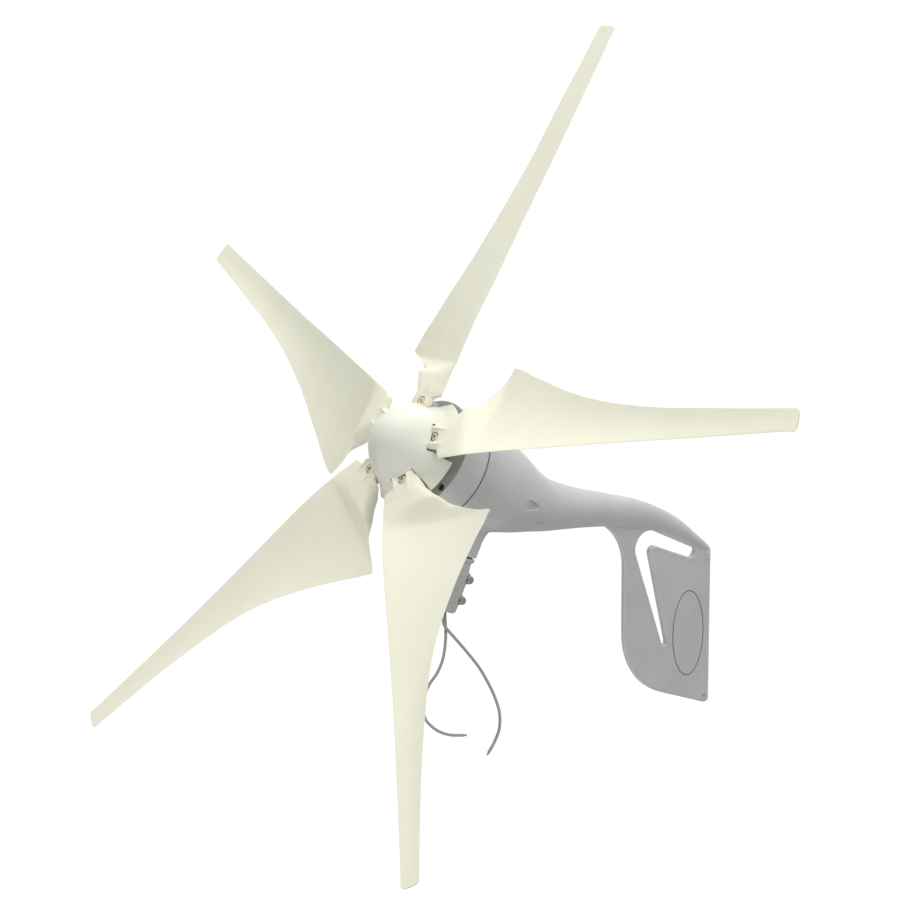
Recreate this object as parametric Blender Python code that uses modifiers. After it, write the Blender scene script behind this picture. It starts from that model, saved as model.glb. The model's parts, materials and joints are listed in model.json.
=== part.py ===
"""Small horizontal-axis wind turbine with five blades, a permanent-magnet generator in a cast
body, a tail fin cast in one with it, and a two-half clamp that grips the top of a round pole.

Units are metres, +Z is up along the yaw axis and the nose points to -Y. The origin is the centre
of the clamp's lower rim. The rotor axis leans back by TILT, nose up."""

from math import cos, pi, radians, sin, sqrt, tan

import bmesh
import bpy
from mathutils import Matrix, Vector

# Driving dimensions
TILT = radians(10.0)
HUB = Vector((0.0, -0.116, 0.183))  # hub centre: the rotor axis in the plane of the blade tips
GAP = 0.0003  # clearance that touching pieces keep
BLADES = 5
BLADE_PHASE = radians(-3.4)  # angle of the first blade from upright, at rest
TIP_RADIUS = 0.600
POLE_R = 0.02425  # bore of the clamp: a 48.3 mm tube
CLAMP_TOP = 0.074
SOCKET_TOP = 0.0555
NECK_BOTTOM = 0.0758
NECK_R = 0.034
CASE_R = 0.0755
BODY_FRONT = 0.0600  # distance of the body's front face behind the hub centre
SHAFT_R = 0.0075
BOLT_Y = 0.0365
BOLT_ROWS = (0.0180, 0.0465)
FIN_THICK = 0.0080
LEAD_D = 0.0040
RING_ROWS = (0.1160, 0.1250)

for old in list(bpy.data.objects):
    bpy.data.objects.remove(old, do_unlink=True)

TURBINE = bpy.data.collections.new("small_wind_turbine")
CUTTERS = bpy.data.collections.new("cutters")
bpy.context.scene.collection.children.link(TURBINE)
bpy.context.scene.collection.children.link(CUTTERS)


def material(name, rgb, roughness, metallic=0.0):
    made = bpy.data.materials.new(name)
    made.use_nodes = True
    shader = made.node_tree.nodes["Principled BSDF"]
    shader.inputs["Base Color"].default_value = (*rgb, 1.0)
    shader.inputs["Roughness"].default_value = roughness
    shader.inputs["Metallic"].default_value = metallic
    return made


IVORY = material("ivory_blade_plastic", (0.90, 0.88, 0.76), 0.45)
PEARL = material("pearl_spinner_plastic", (0.80, 0.81, 0.78), 0.35)
CAST = material("grey_painted_casting", (0.38, 0.38, 0.38), 0.5, 0.2)
DARK = material("dark_gasket_rubber", (0.03, 0.03, 0.03), 0.8)
STEEL = material("zinc_plated_steel", (0.60, 0.58, 0.54), 0.35, 1.0)
BEARING = material("bearing_steel", (0.55, 0.56, 0.58), 0.25, 1.0)
LAMINATION = material("electrical_steel", (0.25, 0.26, 0.28), 0.45, 0.9)
COPPER = material("enamelled_copper", (0.62, 0.26, 0.10), 0.35, 0.9)
MAGNET = material("nickel_plated_magnet", (0.45, 0.45, 0.46), 0.3, 1.0)
BRASS = material("slip_ring_brass", (0.72, 0.52, 0.22), 0.3, 1.0)
CARBON = material("brush_carbon", (0.05, 0.05, 0.055), 0.6)
NYLON = material("black_nylon", (0.04, 0.04, 0.045), 0.5)
WIRE = material("grey_lead_insulation", (0.30, 0.30, 0.30), 0.55)


def empty(name, location, tilt):
    made = bpy.data.objects.new(name, None)
    made.location = location
    made.rotation_euler = (-tilt, 0.0, 0.0)
    TURBINE.objects.link(made)
    return made


NACELLE = empty("yaw_axis", (0.0, 0.0, 0.0), 0.0)
GENERATOR = empty("generator_axis", HUB, TILT)
ROTOR = empty("rotor_axis", HUB, TILT)
GENERATOR.parent = NACELLE
ROTOR.parent = NACELLE


def add(name, mesh, mat, parent=None):
    made = bpy.data.objects.new(name, mesh)
    TURBINE.objects.link(made)
    made.parent = parent
    if mat:
        mesh.materials.append(mat)
    return made


def hide(helper):
    """Keep a helper shape out of the model: it only cuts, or joins, another."""
    helper.hide_render = True
    helper.display_type = "WIRE"
    if helper.name in TURBINE.objects:
        TURBINE.objects.unlink(helper)
        CUTTERS.objects.link(helper)


def boolean(obj, helper, operation="DIFFERENCE"):
    modifier = obj.modifiers.new(operation.lower() + "_" + helper.name, "BOOLEAN")
    modifier.operation = operation
    modifier.object = helper
    hide(helper)
    return obj


def bake(obj):
    """The mesh that an object's modifiers make."""
    bpy.context.view_layer.update()
    graph = bpy.context.evaluated_depsgraph_get()
    return bpy.data.meshes.new_from_object(obj.evaluated_get(graph))


def smooth(mesh, degrees=35.0):
    mesh.shade_smooth()
    mesh.set_sharp_from_angle(angle=radians(degrees))
    return mesh


def turned(name, profile, mat=None, parent=None, steps=32, along="Z", at=0.0):
    """A turned solid from (radius, height) points, in order round its section.

    along "Z" turns about the object's own Z; "AXLE" lays that Z backwards along the parent's
    rotor axis, so that a height is a distance behind the hub centre."""
    area = sum(a[0] * b[1] - b[0] * a[1] for a, b in zip(profile, profile[1:] + profile[:1]))
    if area > 0:
        profile = profile[::-1]
    closed = all(r > 1e-6 for r, z in profile)
    mesh = bpy.data.meshes.new(name)
    shape = bmesh.new()
    corners = [shape.verts.new((r, 0.0, z)) for r, z in profile]
    if not closed:
        first = next(i for i, (r, z) in enumerate(profile) if r <= 1e-6)
        if profile[(first + 1) % len(profile)][0] <= 1e-6:
            first = (first + 1) % len(profile)
        corners = corners[first:] + corners[:first]
    for a, b in zip(corners, corners[1:]):
        shape.edges.new((a, b))
    if closed:
        shape.edges.new((corners[-1], corners[0]))
    shape.to_mesh(mesh)
    shape.free()
    made = add(name, mesh, mat, parent)
    screw = made.modifiers.new("turn", "SCREW")
    screw.steps = screw.render_steps = steps
    screw.use_merge_vertices = True
    screw.merge_threshold = 0.00002
    screw.use_smooth_shade = True
    if along == "AXLE":
        made.rotation_euler = (-pi / 2, 0.0, 0.0)
    made.location = made.location + Vector((0.0, 0.0, at)) if along == "Z" else made.location
    return made


def box(name, low, high, mat=None, parent=None):
    mesh = bpy.data.meshes.new(name)
    shape = bmesh.new()
    bmesh.ops.create_cube(shape, size=1.0)
    low, high = Vector(low), Vector(high)
    bmesh.ops.scale(shape, vec=high - low, verts=shape.verts)
    bmesh.ops.translate(shape, vec=(low + high) / 2, verts=shape.verts)
    shape.to_mesh(mesh)
    shape.free()
    return add(name, mesh, mat, parent)


def rod(name, radius, start, end, mat=None, parent=None, sides=12):
    """A round or, with six sides, hexagonal bar between two points."""
    start, end = Vector(start), Vector(end)
    mesh = bpy.data.meshes.new(name)
    shape = bmesh.new()
    bmesh.ops.create_cone(
        shape, cap_ends=True, segments=sides, radius1=radius, radius2=radius,
        depth=(end - start).length,
    )
    turn = Vector((0, 0, 1)).rotation_difference(end - start).to_matrix().to_4x4()
    shape.transform(Matrix.Translation((start + end) / 2) @ turn)
    shape.to_mesh(mesh)
    shape.free()
    return add(name, mesh, mat, parent)


def filleted(corners, arc_step=radians(15)):
    """A polygon's points with each (y, z, radius) corner rounded."""
    points = []
    for i, (y, z, radius) in enumerate(corners):
        here = Vector((y, z))
        before = (Vector(corners[i - 1][:2]) - here).normalized()
        after = (Vector(corners[(i + 1) % len(corners)][:2]) - here).normalized()
        if radius <= 0:
            points.append(here)
            continue
        half = before.angle(after) / 2
        run = radius / tan(half)
        centre = here + (before + after).normalized() * radius / sin(half)
        first = here + before * run - centre
        sweep = pi - 2 * half
        side = -1 if before.x * after.y - before.y * after.x > 0 else 1
        count = max(2, round(sweep / arc_step))
        for k in range(count + 1):
            a = side * sweep * k / count
            points.append(centre + Vector((
                first.x * cos(a) - first.y * sin(a), first.x * sin(a) + first.y * cos(a),
            )))
    return points


def plate(name, outline, thickness, mat=None, upright=True, at=0.0, round_edge=0.0):
    """A flat outline with thickness: upright in the YZ plane, or lying in XY and rising from at."""
    curve = bpy.data.curves.new(name, "CURVE")
    curve.dimensions = "2D"
    curve.fill_mode = "BOTH"
    curve.extrude = thickness / 2 - round_edge
    curve.bevel_depth = round_edge
    curve.offset = -round_edge
    curve.bevel_resolution = 1
    spline = curve.splines.new("POLY")
    spline.points.add(len(outline) - 1)
    for point, (u, v) in zip(spline.points, outline):
        point.co = (u, v, 0.0, 1.0)
    spline.use_cyclic_u = True
    flat = bpy.data.objects.new(name + "_outline", curve)
    CUTTERS.objects.link(flat)
    mesh = bake(flat)
    bpy.data.objects.remove(flat)
    shape = bmesh.new()
    shape.from_mesh(mesh)
    bmesh.ops.remove_doubles(shape, verts=shape.verts, dist=0.00002)
    bmesh.ops.recalc_face_normals(shape, faces=shape.faces)
    if upright:
        shape.transform(Matrix.Rotation(pi / 2, 4, "Z") @ Matrix.Rotation(pi / 2, 4, "X"))
    else:
        shape.transform(Matrix.Translation((0, 0, at + thickness / 2)))
    shape.to_mesh(mesh)
    shape.free()
    mesh.name = name
    return add(name, mesh, mat)


def loft(name, rings, mat=None, parent=None):
    """A closed skin through rings of equal point counts, capped at both ends."""
    mesh = bpy.data.meshes.new(name)
    shape = bmesh.new()
    rows = [[shape.verts.new(p) for p in ring] for ring in rings]
    count = len(rows[0])
    for near, far in zip(rows, rows[1:]):
        for i in range(count):
            j = (i + 1) % count
            shape.faces.new((near[i], near[j], far[j], far[i]))
    shape.faces.new(rows[0])
    shape.faces.new(rows[-1])
    bmesh.ops.recalc_face_normals(shape, faces=shape.faces)
    shape.to_mesh(mesh)
    shape.free()
    return add(name, smooth(mesh, 50), mat, parent)


def spread(table, where):
    """Read a table of (position, value, value, ...) rows at one position, along a smooth curve."""
    last = len(table) - 1
    k = max(i for i in range(last) if table[i][0] <= where or i == 0)
    a, b = table[k], table[k + 1]
    t = (where - a[0]) / (b[0] - a[0])
    before, after = table[max(k - 1, 0)], table[min(k + 2, last)]
    width = b[0] - a[0]
    row = []
    for i in range(1, len(a)):
        m0 = (b[i] - before[i]) / (b[0] - before[0]) * width
        m1 = (after[i] - a[i]) / (after[0] - a[0]) * width
        h = (2 * t**3 - 3 * t**2 + 1, t**3 - 2 * t**2 + t, -2 * t**3 + 3 * t**2, t**3 - t**2)
        row.append(h[0] * a[i] + h[1] * m0 + h[2] * b[i] + h[3] * m1)
    return row


# ---------------------------------------------------------------- pole clamp and yaw column
def half_clamp(name, side):
    """One half of the split clamp: a half ring with a bolting ear on each edge."""
    outer, edge, ear, face = 0.0315, 0.0400, 0.0095, 0.0004
    start = sqrt(POLE_R**2 - face**2)
    reach = sqrt(outer**2 - ear**2)
    inner_arc = [(face, start)]
    for k in range(1, 16):
        a = pi / 2 - pi * k / 16
        inner_arc.append((POLE_R * cos(a), POLE_R * sin(a)))
    inner_arc.append((face, -start))
    low = pi / 2 - (pi / 2 - atan_of(reach, ear))
    outer_arc = []
    for k in range(13):
        a = -low + 2 * low * k / 12
        outer_arc.append((outer * cos(a), outer * sin(a)))
    outline = inner_arc + [(face, -edge), (ear, -edge)] + outer_arc + [(ear, edge), (face, edge)]
    outline = [(side * x, y) for x, y in outline]
    return plate(name, outline, SOCKET_TOP, CAST, upright=False)


def atan_of(rise, run):
    return Vector((run, rise)).angle(Vector((1.0, 0.0)))


def lugs(half, side):
    """Round bosses on the ears, one for each bolt, and the bolt holes through them."""
    for row in BOLT_ROWS:
        for y in (-BOLT_Y, BOLT_Y):
            tag = f"{half.name}_{'f' if y < 0 else 'r'}{round(row * 1000)}"
            boss = rod("boss_" + tag, 0.0066, (side * 0.0040, y, row), (side * 0.0105, y, row))
            boolean(half, boss, "UNION")
    for row in BOLT_ROWS:
        for y in (-BOLT_Y, BOLT_Y):
            tag = f"{half.name}_{'f' if y < 0 else 'r'}{round(row * 1000)}"
            hole = rod("hole_" + tag, 0.0033, (side * -0.002, y, row), (side * 0.012, y, row))
            boolean(half, hole)


clamp_body = half_clamp("clamp_body", 1)
head = turned("clamp_head", [
    (0.0, 0.0545), (0.0300, 0.0545), (0.0312, 0.0580), (0.0300, 0.0680), (0.0330, 0.0695),
    (0.0330, 0.0735), (0.0325, CLAMP_TOP), (0.0, CLAMP_TOP),
])
head_cut = box("head_relief", (-0.04, -0.05, 0.050), (0.0004, 0.05, SOCKET_TOP + GAP))
boolean(head, head_cut)
pole_cut = rod("pole_relief", POLE_R, (0, 0, 0.050), (0, 0, SOCKET_TOP), sides=32)
boolean(head, pole_cut)
boolean(clamp_body, head, "UNION")
lugs(clamp_body, 1)
spindle_hole = rod("spindle_hole", 0.0100, (0, 0, 0.050), (0, 0, 0.080), sides=24)
boolean(clamp_body, spindle_hole)

clamp_cap = half_clamp("clamp_cap", -1)
lugs(clamp_cap, -1)

for number, (row, y) in enumerate([(r, y) for r in BOLT_ROWS for y in (-BOLT_Y, BOLT_Y)], 1):
    bolt = rod(f"clamp_bolt_{number}", 0.0030, (-0.0102, y, row), (0.0120, y, row), STEEL)
    cap = rod(f"clamp_bolt_head_{number}", 0.0058, (0.0108, y, row), (0.0150, y, row), sides=6)
    boolean(bolt, cap, "UNION")

turned("yaw_spindle", [
    (0.0062, 0.0560), (0.0097, 0.0560), (0.0097, 0.0743), (0.0122, 0.0743), (0.0122, 0.0762),
    (0.0097, 0.0762), (0.0097, 0.1060), (0.0062, 0.1060),
], STEEL, steps=16)
turned("lead_grommet", [
    (0.0045, 0.0530), (0.0075, 0.0530), (0.0075, 0.0557), (0.0059, 0.0557), (0.0059, 0.0640),
    (0.0045, 0.0640),
], DARK, steps=12)
turned("slip_ring_drum", [
    (0.0062, 0.1063), (0.0120, 0.1063), (0.0120, 0.1090), (0.0095, 0.1090), (0.0095, 0.1340),
    (0.0062, 0.1340),
], NYLON, steps=16)
for number, z in enumerate(RING_ROWS, 1):
    turned(f"slip_ring_{number}", [
        (0.0098, z - 0.0022), (0.0130, z - 0.0022), (0.0130, z + 0.0022), (0.0098, z + 0.0022),
    ], BRASS, steps=16)
turned("yaw_seal", [
    (0.0215, 0.0743), (0.0285, 0.0743), (0.0285, 0.0755), (0.0215, 0.0755),
], DARK, steps=24)

# ---------------------------------------------------------------- body, boom and tail fin
# Stations along the rotor axis: distance behind the hub centre, then centre line, top, bottom
# and half width, all measured from that axis.
BODY = [
    (0.0600, 0.000, 0.0748, -0.0748, 0.0748),
    (0.0750, 0.000, 0.0750, -0.0735, 0.0748),
    (0.1000, 0.000, 0.0745, -0.0677, 0.0742),
    (0.1250, 0.001, 0.0735, -0.0576, 0.0715),
    (0.1500, 0.003, 0.0705, -0.0488, 0.0655),
    (0.1720, 0.007, 0.0660, -0.0393, 0.0585),
    (0.1950, 0.013, 0.0615, -0.0303, 0.0505),
    (0.2200, 0.020, 0.0602, -0.0185, 0.0425),
    (0.2500, 0.031, 0.0645, -0.0050, 0.0350),
    (0.2830, 0.043, 0.0722, 0.0124, 0.0285),
    (0.3150, 0.056, 0.0819, 0.0290, 0.0240),
    (0.3450, 0.067, 0.0908, 0.0435, 0.0205),
    (0.3740, 0.078, 0.0995, 0.0560, 0.0170),
    (0.4246, 0.092, 0.1084, 0.0750, 0.0125),
    (0.4710, 0.0985, 0.1105, 0.0865, 0.0095),
    (0.5100, 0.098, 0.1066, 0.0893, 0.0075),
    (0.5380, 0.098, 0.1035, 0.0922, 0.0060),
    (0.5470, 0.0975, 0.1010, 0.0945, 0.0042),
]


def body_ring(s, sides=28):
    centre, top, bottom, wide = spread(BODY, s)
    ring = []
    for k in range(sides):
        a = 2 * pi * k / sides
        reach = (top - centre) if sin(a) > 0 else (centre - bottom)
        x, h = wide * cos(a), centre + reach * sin(a)
        ring.append(Vector((x, s, h)))
    return ring


def in_nacelle(point):
    """A point given about the rotor axis (x, behind the hub centre, above the axis)."""
    return Matrix.Rotation(-TILT, 4, "X") @ Vector(point) + HUB


FIN = [
    (0.5605, 0.004, 0.003), (0.6650, -0.2040, 0.007), (0.4945, -0.2110, 0.112),
    (0.3975, -0.0170, 0.080), (0.300, -0.0120, 0.0), (0.345, 0.0030, 0.0), (0.437, 0.0180, 0.0),
    (0.500, 0.0130, 0.0),
]
SLOT = [
    (0.3895, 0.0030, 0.0220), (0.5360, -0.0042, 0.0055), (0.5330, -0.0180, 0.0055),
    (0.4430, -0.0180, 0.0083), (0.5455, -0.1410, 0.0026), (0.5395, -0.1460, 0.0026),
]


def from_hub(corners):
    """Corners given from the hub centre, in the plane of symmetry, moved to the part's frame.

    They were laid out with the hub centre 0.120 ahead of the yaw axis and 0.183 above the rim."""
    return [(y - 0.120, z + 0.183, r) for y, z, r in corners]


stations = [0.0600 + 0.4870 * (k / 21) for k in range(22)]
nacelle = loft("nacelle_body", [[in_nacelle(p) for p in body_ring(s)] for s in stations], CAST, NACELLE)
fin = plate("fin", [tuple(p) for p in filleted(from_hub(FIN))], FIN_THICK, round_edge=0.0016)
slot = plate("fin_slot", [tuple(p) for p in filleted(from_hub(SLOT), radians(30))], 0.060)
neck = turned("neck", [
    (0.0, NECK_BOTTOM), (NECK_R - 0.001, NECK_BOTTOM), (NECK_R, NECK_BOTTOM + 0.001),
    (NECK_R, 0.098), (0.0355, 0.108), (0.0390, 0.118), (0.040, 0.135), (0.0, 0.135),
])
boolean(nacelle, fin, "UNION")
boolean(nacelle, neck, "UNION")
boolean(nacelle, slot)
cavity = turned("generator_cavity", [
    (0.0, 0.0500), (0.0672, 0.0500), (0.0672, 0.0658), (0.0617, 0.0658), (0.0617, 0.1030),
    (0.0163, 0.1030), (0.0163, 0.1130), (0.0105, 0.1130), (0.0105, 0.1180), (0.0, 0.1180),
], parent=GENERATOR, along="AXLE", steps=32)
boolean(nacelle, cavity)
yaw_bore = rod("yaw_bore", 0.0195, (0, 0, 0.070), (0, 0, 0.1450), sides=32)
boolean(nacelle, yaw_bore)
lead_way = rod("lead_way", 0.0050, (0, 0.094, -0.0430), (0, 0.118, -0.0430), parent=GENERATOR)
boolean(nacelle, lead_way)
drain = rod("fin_hole", 0.0026, (-0.02, 0.5305, -0.0125), (0.02, 0.5305, -0.0125), sides=12)
boolean(nacelle, drain)
# Shallow wedge-shaped hand holds on both flanks: place along the body, angle, size, depth.
for side in (-1, 1):
    for number, (s, angle, size, deep) in enumerate(((0.1670, 6.0, 1.0, 0.0026), (0.2100, -24.0, 0.65, 0.0016)), 1):
        a = radians(angle)
        centre, top, bottom, wide = spread(BODY, s)
        x, h = wide * cos(a), centre + ((top - centre) if a > 0 else (centre - bottom)) * sin(a)
        seat = Matrix.Translation((x, s, h)) @ Matrix.Rotation(radians(18), 4, "Z") @ Matrix.Rotation(-a, 4, "Y")
        outline = [(-0.0130, -0.0055), (-0.0080, 0.0058), (0.0010, 0.0062), (0.0125, 0.0006), (0.0110, -0.0022)]
        rings = [[seat @ Vector((level, u * size, v * size)) for u, v in outline] for level in (-deep, 0.0120)]
        name = f"hand_hold_{number}_{'right' if side > 0 else 'left'}"
        boolean(nacelle, loft(name, [[Vector((side * p.x, p.y, p.z)) for p in ring] for ring in rings], parent=GENERATOR))

# ---------------------------------------------------------------- generator inside the body
CASE_BOLTS = [radians(a) for a in (-25.0, 65.0, 155.0, 245.0)]
CASE_BOLT_R = 0.0700

cover = turned("front_cover", [
    (0.0128, 0.0055), (0.0610, 0.0055), (0.0625, 0.0062), (CASE_R - 0.0005, 0.0175),
    (CASE_R, 0.0185), (CASE_R, 0.0583), (0.0665, 0.0583), (0.0665, 0.0650), (0.0613, 0.0650),
    (0.0613, 0.0240), (0.0540, 0.0150), (0.0230, 0.0125), (0.0225, 0.0265), (0.0178, 0.0265),
    (0.0178, 0.0140), (0.0128, 0.0140),
], CAST, GENERATOR, steps=32, along="AXLE")
turned("cover_gasket", [
    (0.0672, 0.0586), (0.0735, 0.0586), (0.0735, 0.0597), (0.0672, 0.0597),
], DARK, GENERATOR, steps=32, along="AXLE")
for number, a in enumerate(CASE_BOLTS, 1):
    x, h = CASE_BOLT_R * cos(a), CASE_BOLT_R * sin(a)
    well = rod(f"bolt_well_{number}", 0.0046, (x, 0.0, h), (x, 0.0215, h), parent=GENERATOR)
    boolean(cover, well)
    hole = rod(f"bolt_hole_{number}", 0.0023, (x, 0.010, h), (x, 0.085, h), parent=GENERATOR)
    boolean(cover, hole)
    boolean(bpy.data.objects["cover_gasket"], hole)
    boolean(nacelle, hole)
    bolt = turned(f"case_bolt_{number}", [
        (0.0, 0.0178), (0.0022, 0.0178), (0.0022, 0.0152), (0.0040, 0.0152), (0.0040, 0.0211),
        (0.0020, 0.0211), (0.0020, 0.0800), (0.0, 0.0800),
    ], STEEL, GENERATOR, steps=12, along="AXLE")
    bolt.location = (x, 0.0, h)


def ball_bearing(name, inner, outer, start, end, parent, along="AXLE"):
    """A shielded bearing: its two faces are recessed between the inner and the outer ring."""
    lip = (outer - inner) * 0.26
    return turned(name, [
        (inner, start), (inner + lip, start), (inner + lip, start + 0.0006),
        (outer - lip, start + 0.0006), (outer - lip, start), (outer, start),
        (outer, end), (outer - lip, end), (outer - lip, end - 0.0006),
        (inner + lip, end - 0.0006), (inner + lip, end), (inner, end),
    ], BEARING, parent, steps=16, along=along)


ball_bearing("front_bearing", SHAFT_R + GAP, 0.0175, 0.0143, 0.0253, GENERATOR)
ball_bearing("rear_bearing", SHAFT_R + GAP, 0.0160, 0.1034, 0.1124, GENERATOR)
ball_bearing("yaw_bearing_lower", 0.0100, 0.0192, 0.0776, 0.0876, NACELLE, "Z")
ball_bearing("yaw_bearing_upper", 0.0100, 0.0192, 0.0950, 0.1050, NACELLE, "Z")
turned("shaft_seal", [
    (SHAFT_R + GAP, 0.0075), (0.0125, 0.0065), (0.0125, 0.0135), (0.0112, 0.0135),
    (0.0112, 0.0095), (SHAFT_R + GAP, 0.0085),
], DARK, GENERATOR, steps=16, along="AXLE")

SLOTS = 12
core = turned("stator_core", [
    (0.0383, 0.0460), (0.0610, 0.0460), (0.0610, 0.0840), (0.0383, 0.0840),
], LAMINATION, GENERATOR, steps=36, along="AXLE")
windings = turned("stator_windings", [
    (0.0418, 0.0360), (0.0435, 0.0350), (0.0525, 0.0350), (0.0542, 0.0360), (0.0542, 0.0457),
    (0.0418, 0.0457),
], COPPER, GENERATOR, steps=24, along="AXLE")
rear_turns = turned("rear_end_turns", [
    (0.0418, 0.0843), (0.0542, 0.0843), (0.0542, 0.0940), (0.0525, 0.0950), (0.0435, 0.0950),
    (0.0418, 0.0940),
], None, GENERATOR, steps=24, along="AXLE")
boolean(windings, rear_turns, "UNION")
for number in range(SLOTS):
    turn = (0.0, 2 * pi * number / SLOTS, 0.0)
    window = box(f"slot_window_{number}", (-0.0052, 0.040, 0.0415), (0.0052, 0.090, 0.0545), parent=GENERATOR)
    mouth = box(f"slot_mouth_{number}", (-0.0012, 0.040, 0.0360), (0.0012, 0.090, 0.0450), parent=GENERATOR)
    bar = box(f"slot_bar_{number}", (-0.0048, 0.0400, 0.0424), (0.0048, 0.0900, 0.0536), parent=GENERATOR)
    for piece in (window, mouth, bar):
        piece.rotation_euler = turn
    boolean(core, window)
    boolean(core, mouth)
    boolean(windings, bar, "UNION")

turned("rectifier", [
    (0.0230, 0.0962), (0.0480, 0.0962), (0.0500, 0.0980), (0.0500, 0.1020), (0.0230, 0.1020),
], NYLON, GENERATOR, steps=24, along="AXLE")
for number, z in enumerate(RING_ROWS, 1):
    box(f"brush_{number}", (-0.0025, 0.0133, z - 0.0018), (0.0025, 0.0162, z + 0.0018), CARBON, NACELLE)
holder = box("brush_holder", (-0.0055, 0.0142, 0.1105), (0.0055, 0.0185, 0.1325), NYLON, NACELLE)
for number, z in enumerate(RING_ROWS, 1):
    boolean(holder, box(f"brush_pocket_{number}", (-0.0028, 0.0125, z - 0.0021), (0.0028, 0.0165, z + 0.0021)))

# ---------------------------------------------------------------- rotor
turned("main_shaft", [
    (0.0, -0.0330), (0.0052, -0.0330), (0.0060, -0.0322), (0.0060, -0.0160), (SHAFT_R, -0.0160),
    (SHAFT_R, 0.1120), (0.0065, 0.1130), (0.0, 0.1130),
], STEEL, ROTOR, steps=16, along="AXLE")
turned("rotor_core", [
    (SHAFT_R + GAP, 0.0480), (0.0120, 0.0480), (0.0120, 0.0520), (0.0280, 0.0520), (0.0280, 0.0470),
    (0.0340, 0.0470), (0.0340, 0.0830), (0.0280, 0.0830), (0.0280, 0.0780), (0.0120, 0.0780),
    (0.0120, 0.0820), (SHAFT_R + GAP, 0.0820),
], LAMINATION, ROTOR, steps=20, along="AXLE")
turned("magnet_ring", [
    (0.0343, 0.0470), (0.0376, 0.0470), (0.0376, 0.0830), (0.0343, 0.0830),
], MAGNET, ROTOR, steps=30, along="AXLE")

HUB_FACE = -0.0165
hub = turned("hub", [
    (SHAFT_R + GAP, HUB_FACE), (0.0525, HUB_FACE), (0.0525, -0.0080), (0.0220, -0.0080),
    (0.0200, 0.0020),
    (SHAFT_R + GAP, 0.0020),
], CAST, ROTOR, steps=28, along="AXLE")
for number in range(BLADES):
    arm = box(f"hub_arm_{number + 1}", (-0.0143, HUB_FACE, 0.0400), (0.0143, -0.0080, 0.0620), parent=ROTOR)
    arm.rotation_euler = (0.0, BLADE_PHASE + 2 * pi * number / BLADES, 0.0)
    boolean(hub, arm, "UNION")
washer = turned("hub_washer", [
    (0.0063, -0.0203), (0.0105, -0.0203), (0.0105, HUB_FACE - GAP), (0.0063, HUB_FACE - GAP),
], STEEL, ROTOR, steps=16, along="AXLE")
nut = rod("hub_nut", 0.0105, (0, -0.0300, 0), (0, -0.0208, 0), STEEL, ROTOR, sides=6)
boolean(nut, rod("hub_nut_bore", 0.0063, (0, -0.032, 0), (0, -0.018, 0), parent=ROTOR, sides=16))


def dome(radius, offset=0.0):
    return 0.0020 - 0.0686 * (1 - (radius / 0.0688) ** 2) + offset


outside = [(0.0, dome(0.0))] + [(r / 1000, dome(r / 1000)) for r in (9, 20, 31, 41, 50, 58)]
outside += [(0.0655, -0.0072), (0.0705, -0.0012), (0.0738, 0.0028)]
inside = [(0.0716, 0.0034), (0.0638, -0.0058), (0.0606, -0.0105)]
inside += [(r / 1000, dome(r / 1000 + 0.0013, 0.0026)) for r in (55, 46, 36, 25, 12)]
inside += [(0.0, dome(0.0) + 0.0026)]
spinner = turned("spinner", outside + inside, PEARL, ROTOR, steps=40, along="AXLE")
SPINNER_SCREW_R = 0.0270
dome_core = turned(
    "dome_core",
    [(r / 1000, dome(r / 1000, 0.0013)) for r in (0, 9, 20, 31, 41, 50)] + [(0.050, 0.0), (0.0, 0.0)],
    parent=ROTOR, steps=40, along="AXLE",
)
for number in range(3):
    a = radians(30 + 120 * number)
    x, h = SPINNER_SCREW_R * cos(a), SPINNER_SCREW_R * sin(a)
    post = rod(f"spinner_post_{number}", 0.0042, (x, HUB_FACE - GAP, h), (x, -0.0640, h), parent=ROTOR, sides=12)
    boolean(post, dome_core, "INTERSECT")
    boolean(spinner, post, "UNION")
    bore = rod(f"post_bore_{number}", 0.0018, (x, -0.010, h), (x, -0.0300, h), parent=ROTOR, sides=12)
    boolean(spinner, bore)
    hole = rod(f"hub_screw_hole_{number}", 0.0020, (x, -0.020, h), (x, -0.004, h), parent=ROTOR, sides=8)
    boolean(hub, hole)
    screw = turned(f"spinner_screw_{number + 1}", [
        (0.0, -0.0055), (0.0030, -0.0058), (0.0034, -0.0077), (0.0015, -0.0077),
        (0.0015, -0.0280), (0.0, -0.0280),
    ], STEEL, ROTOR, steps=8, along="AXLE")
    screw.location = (x, 0.0, h)

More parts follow.
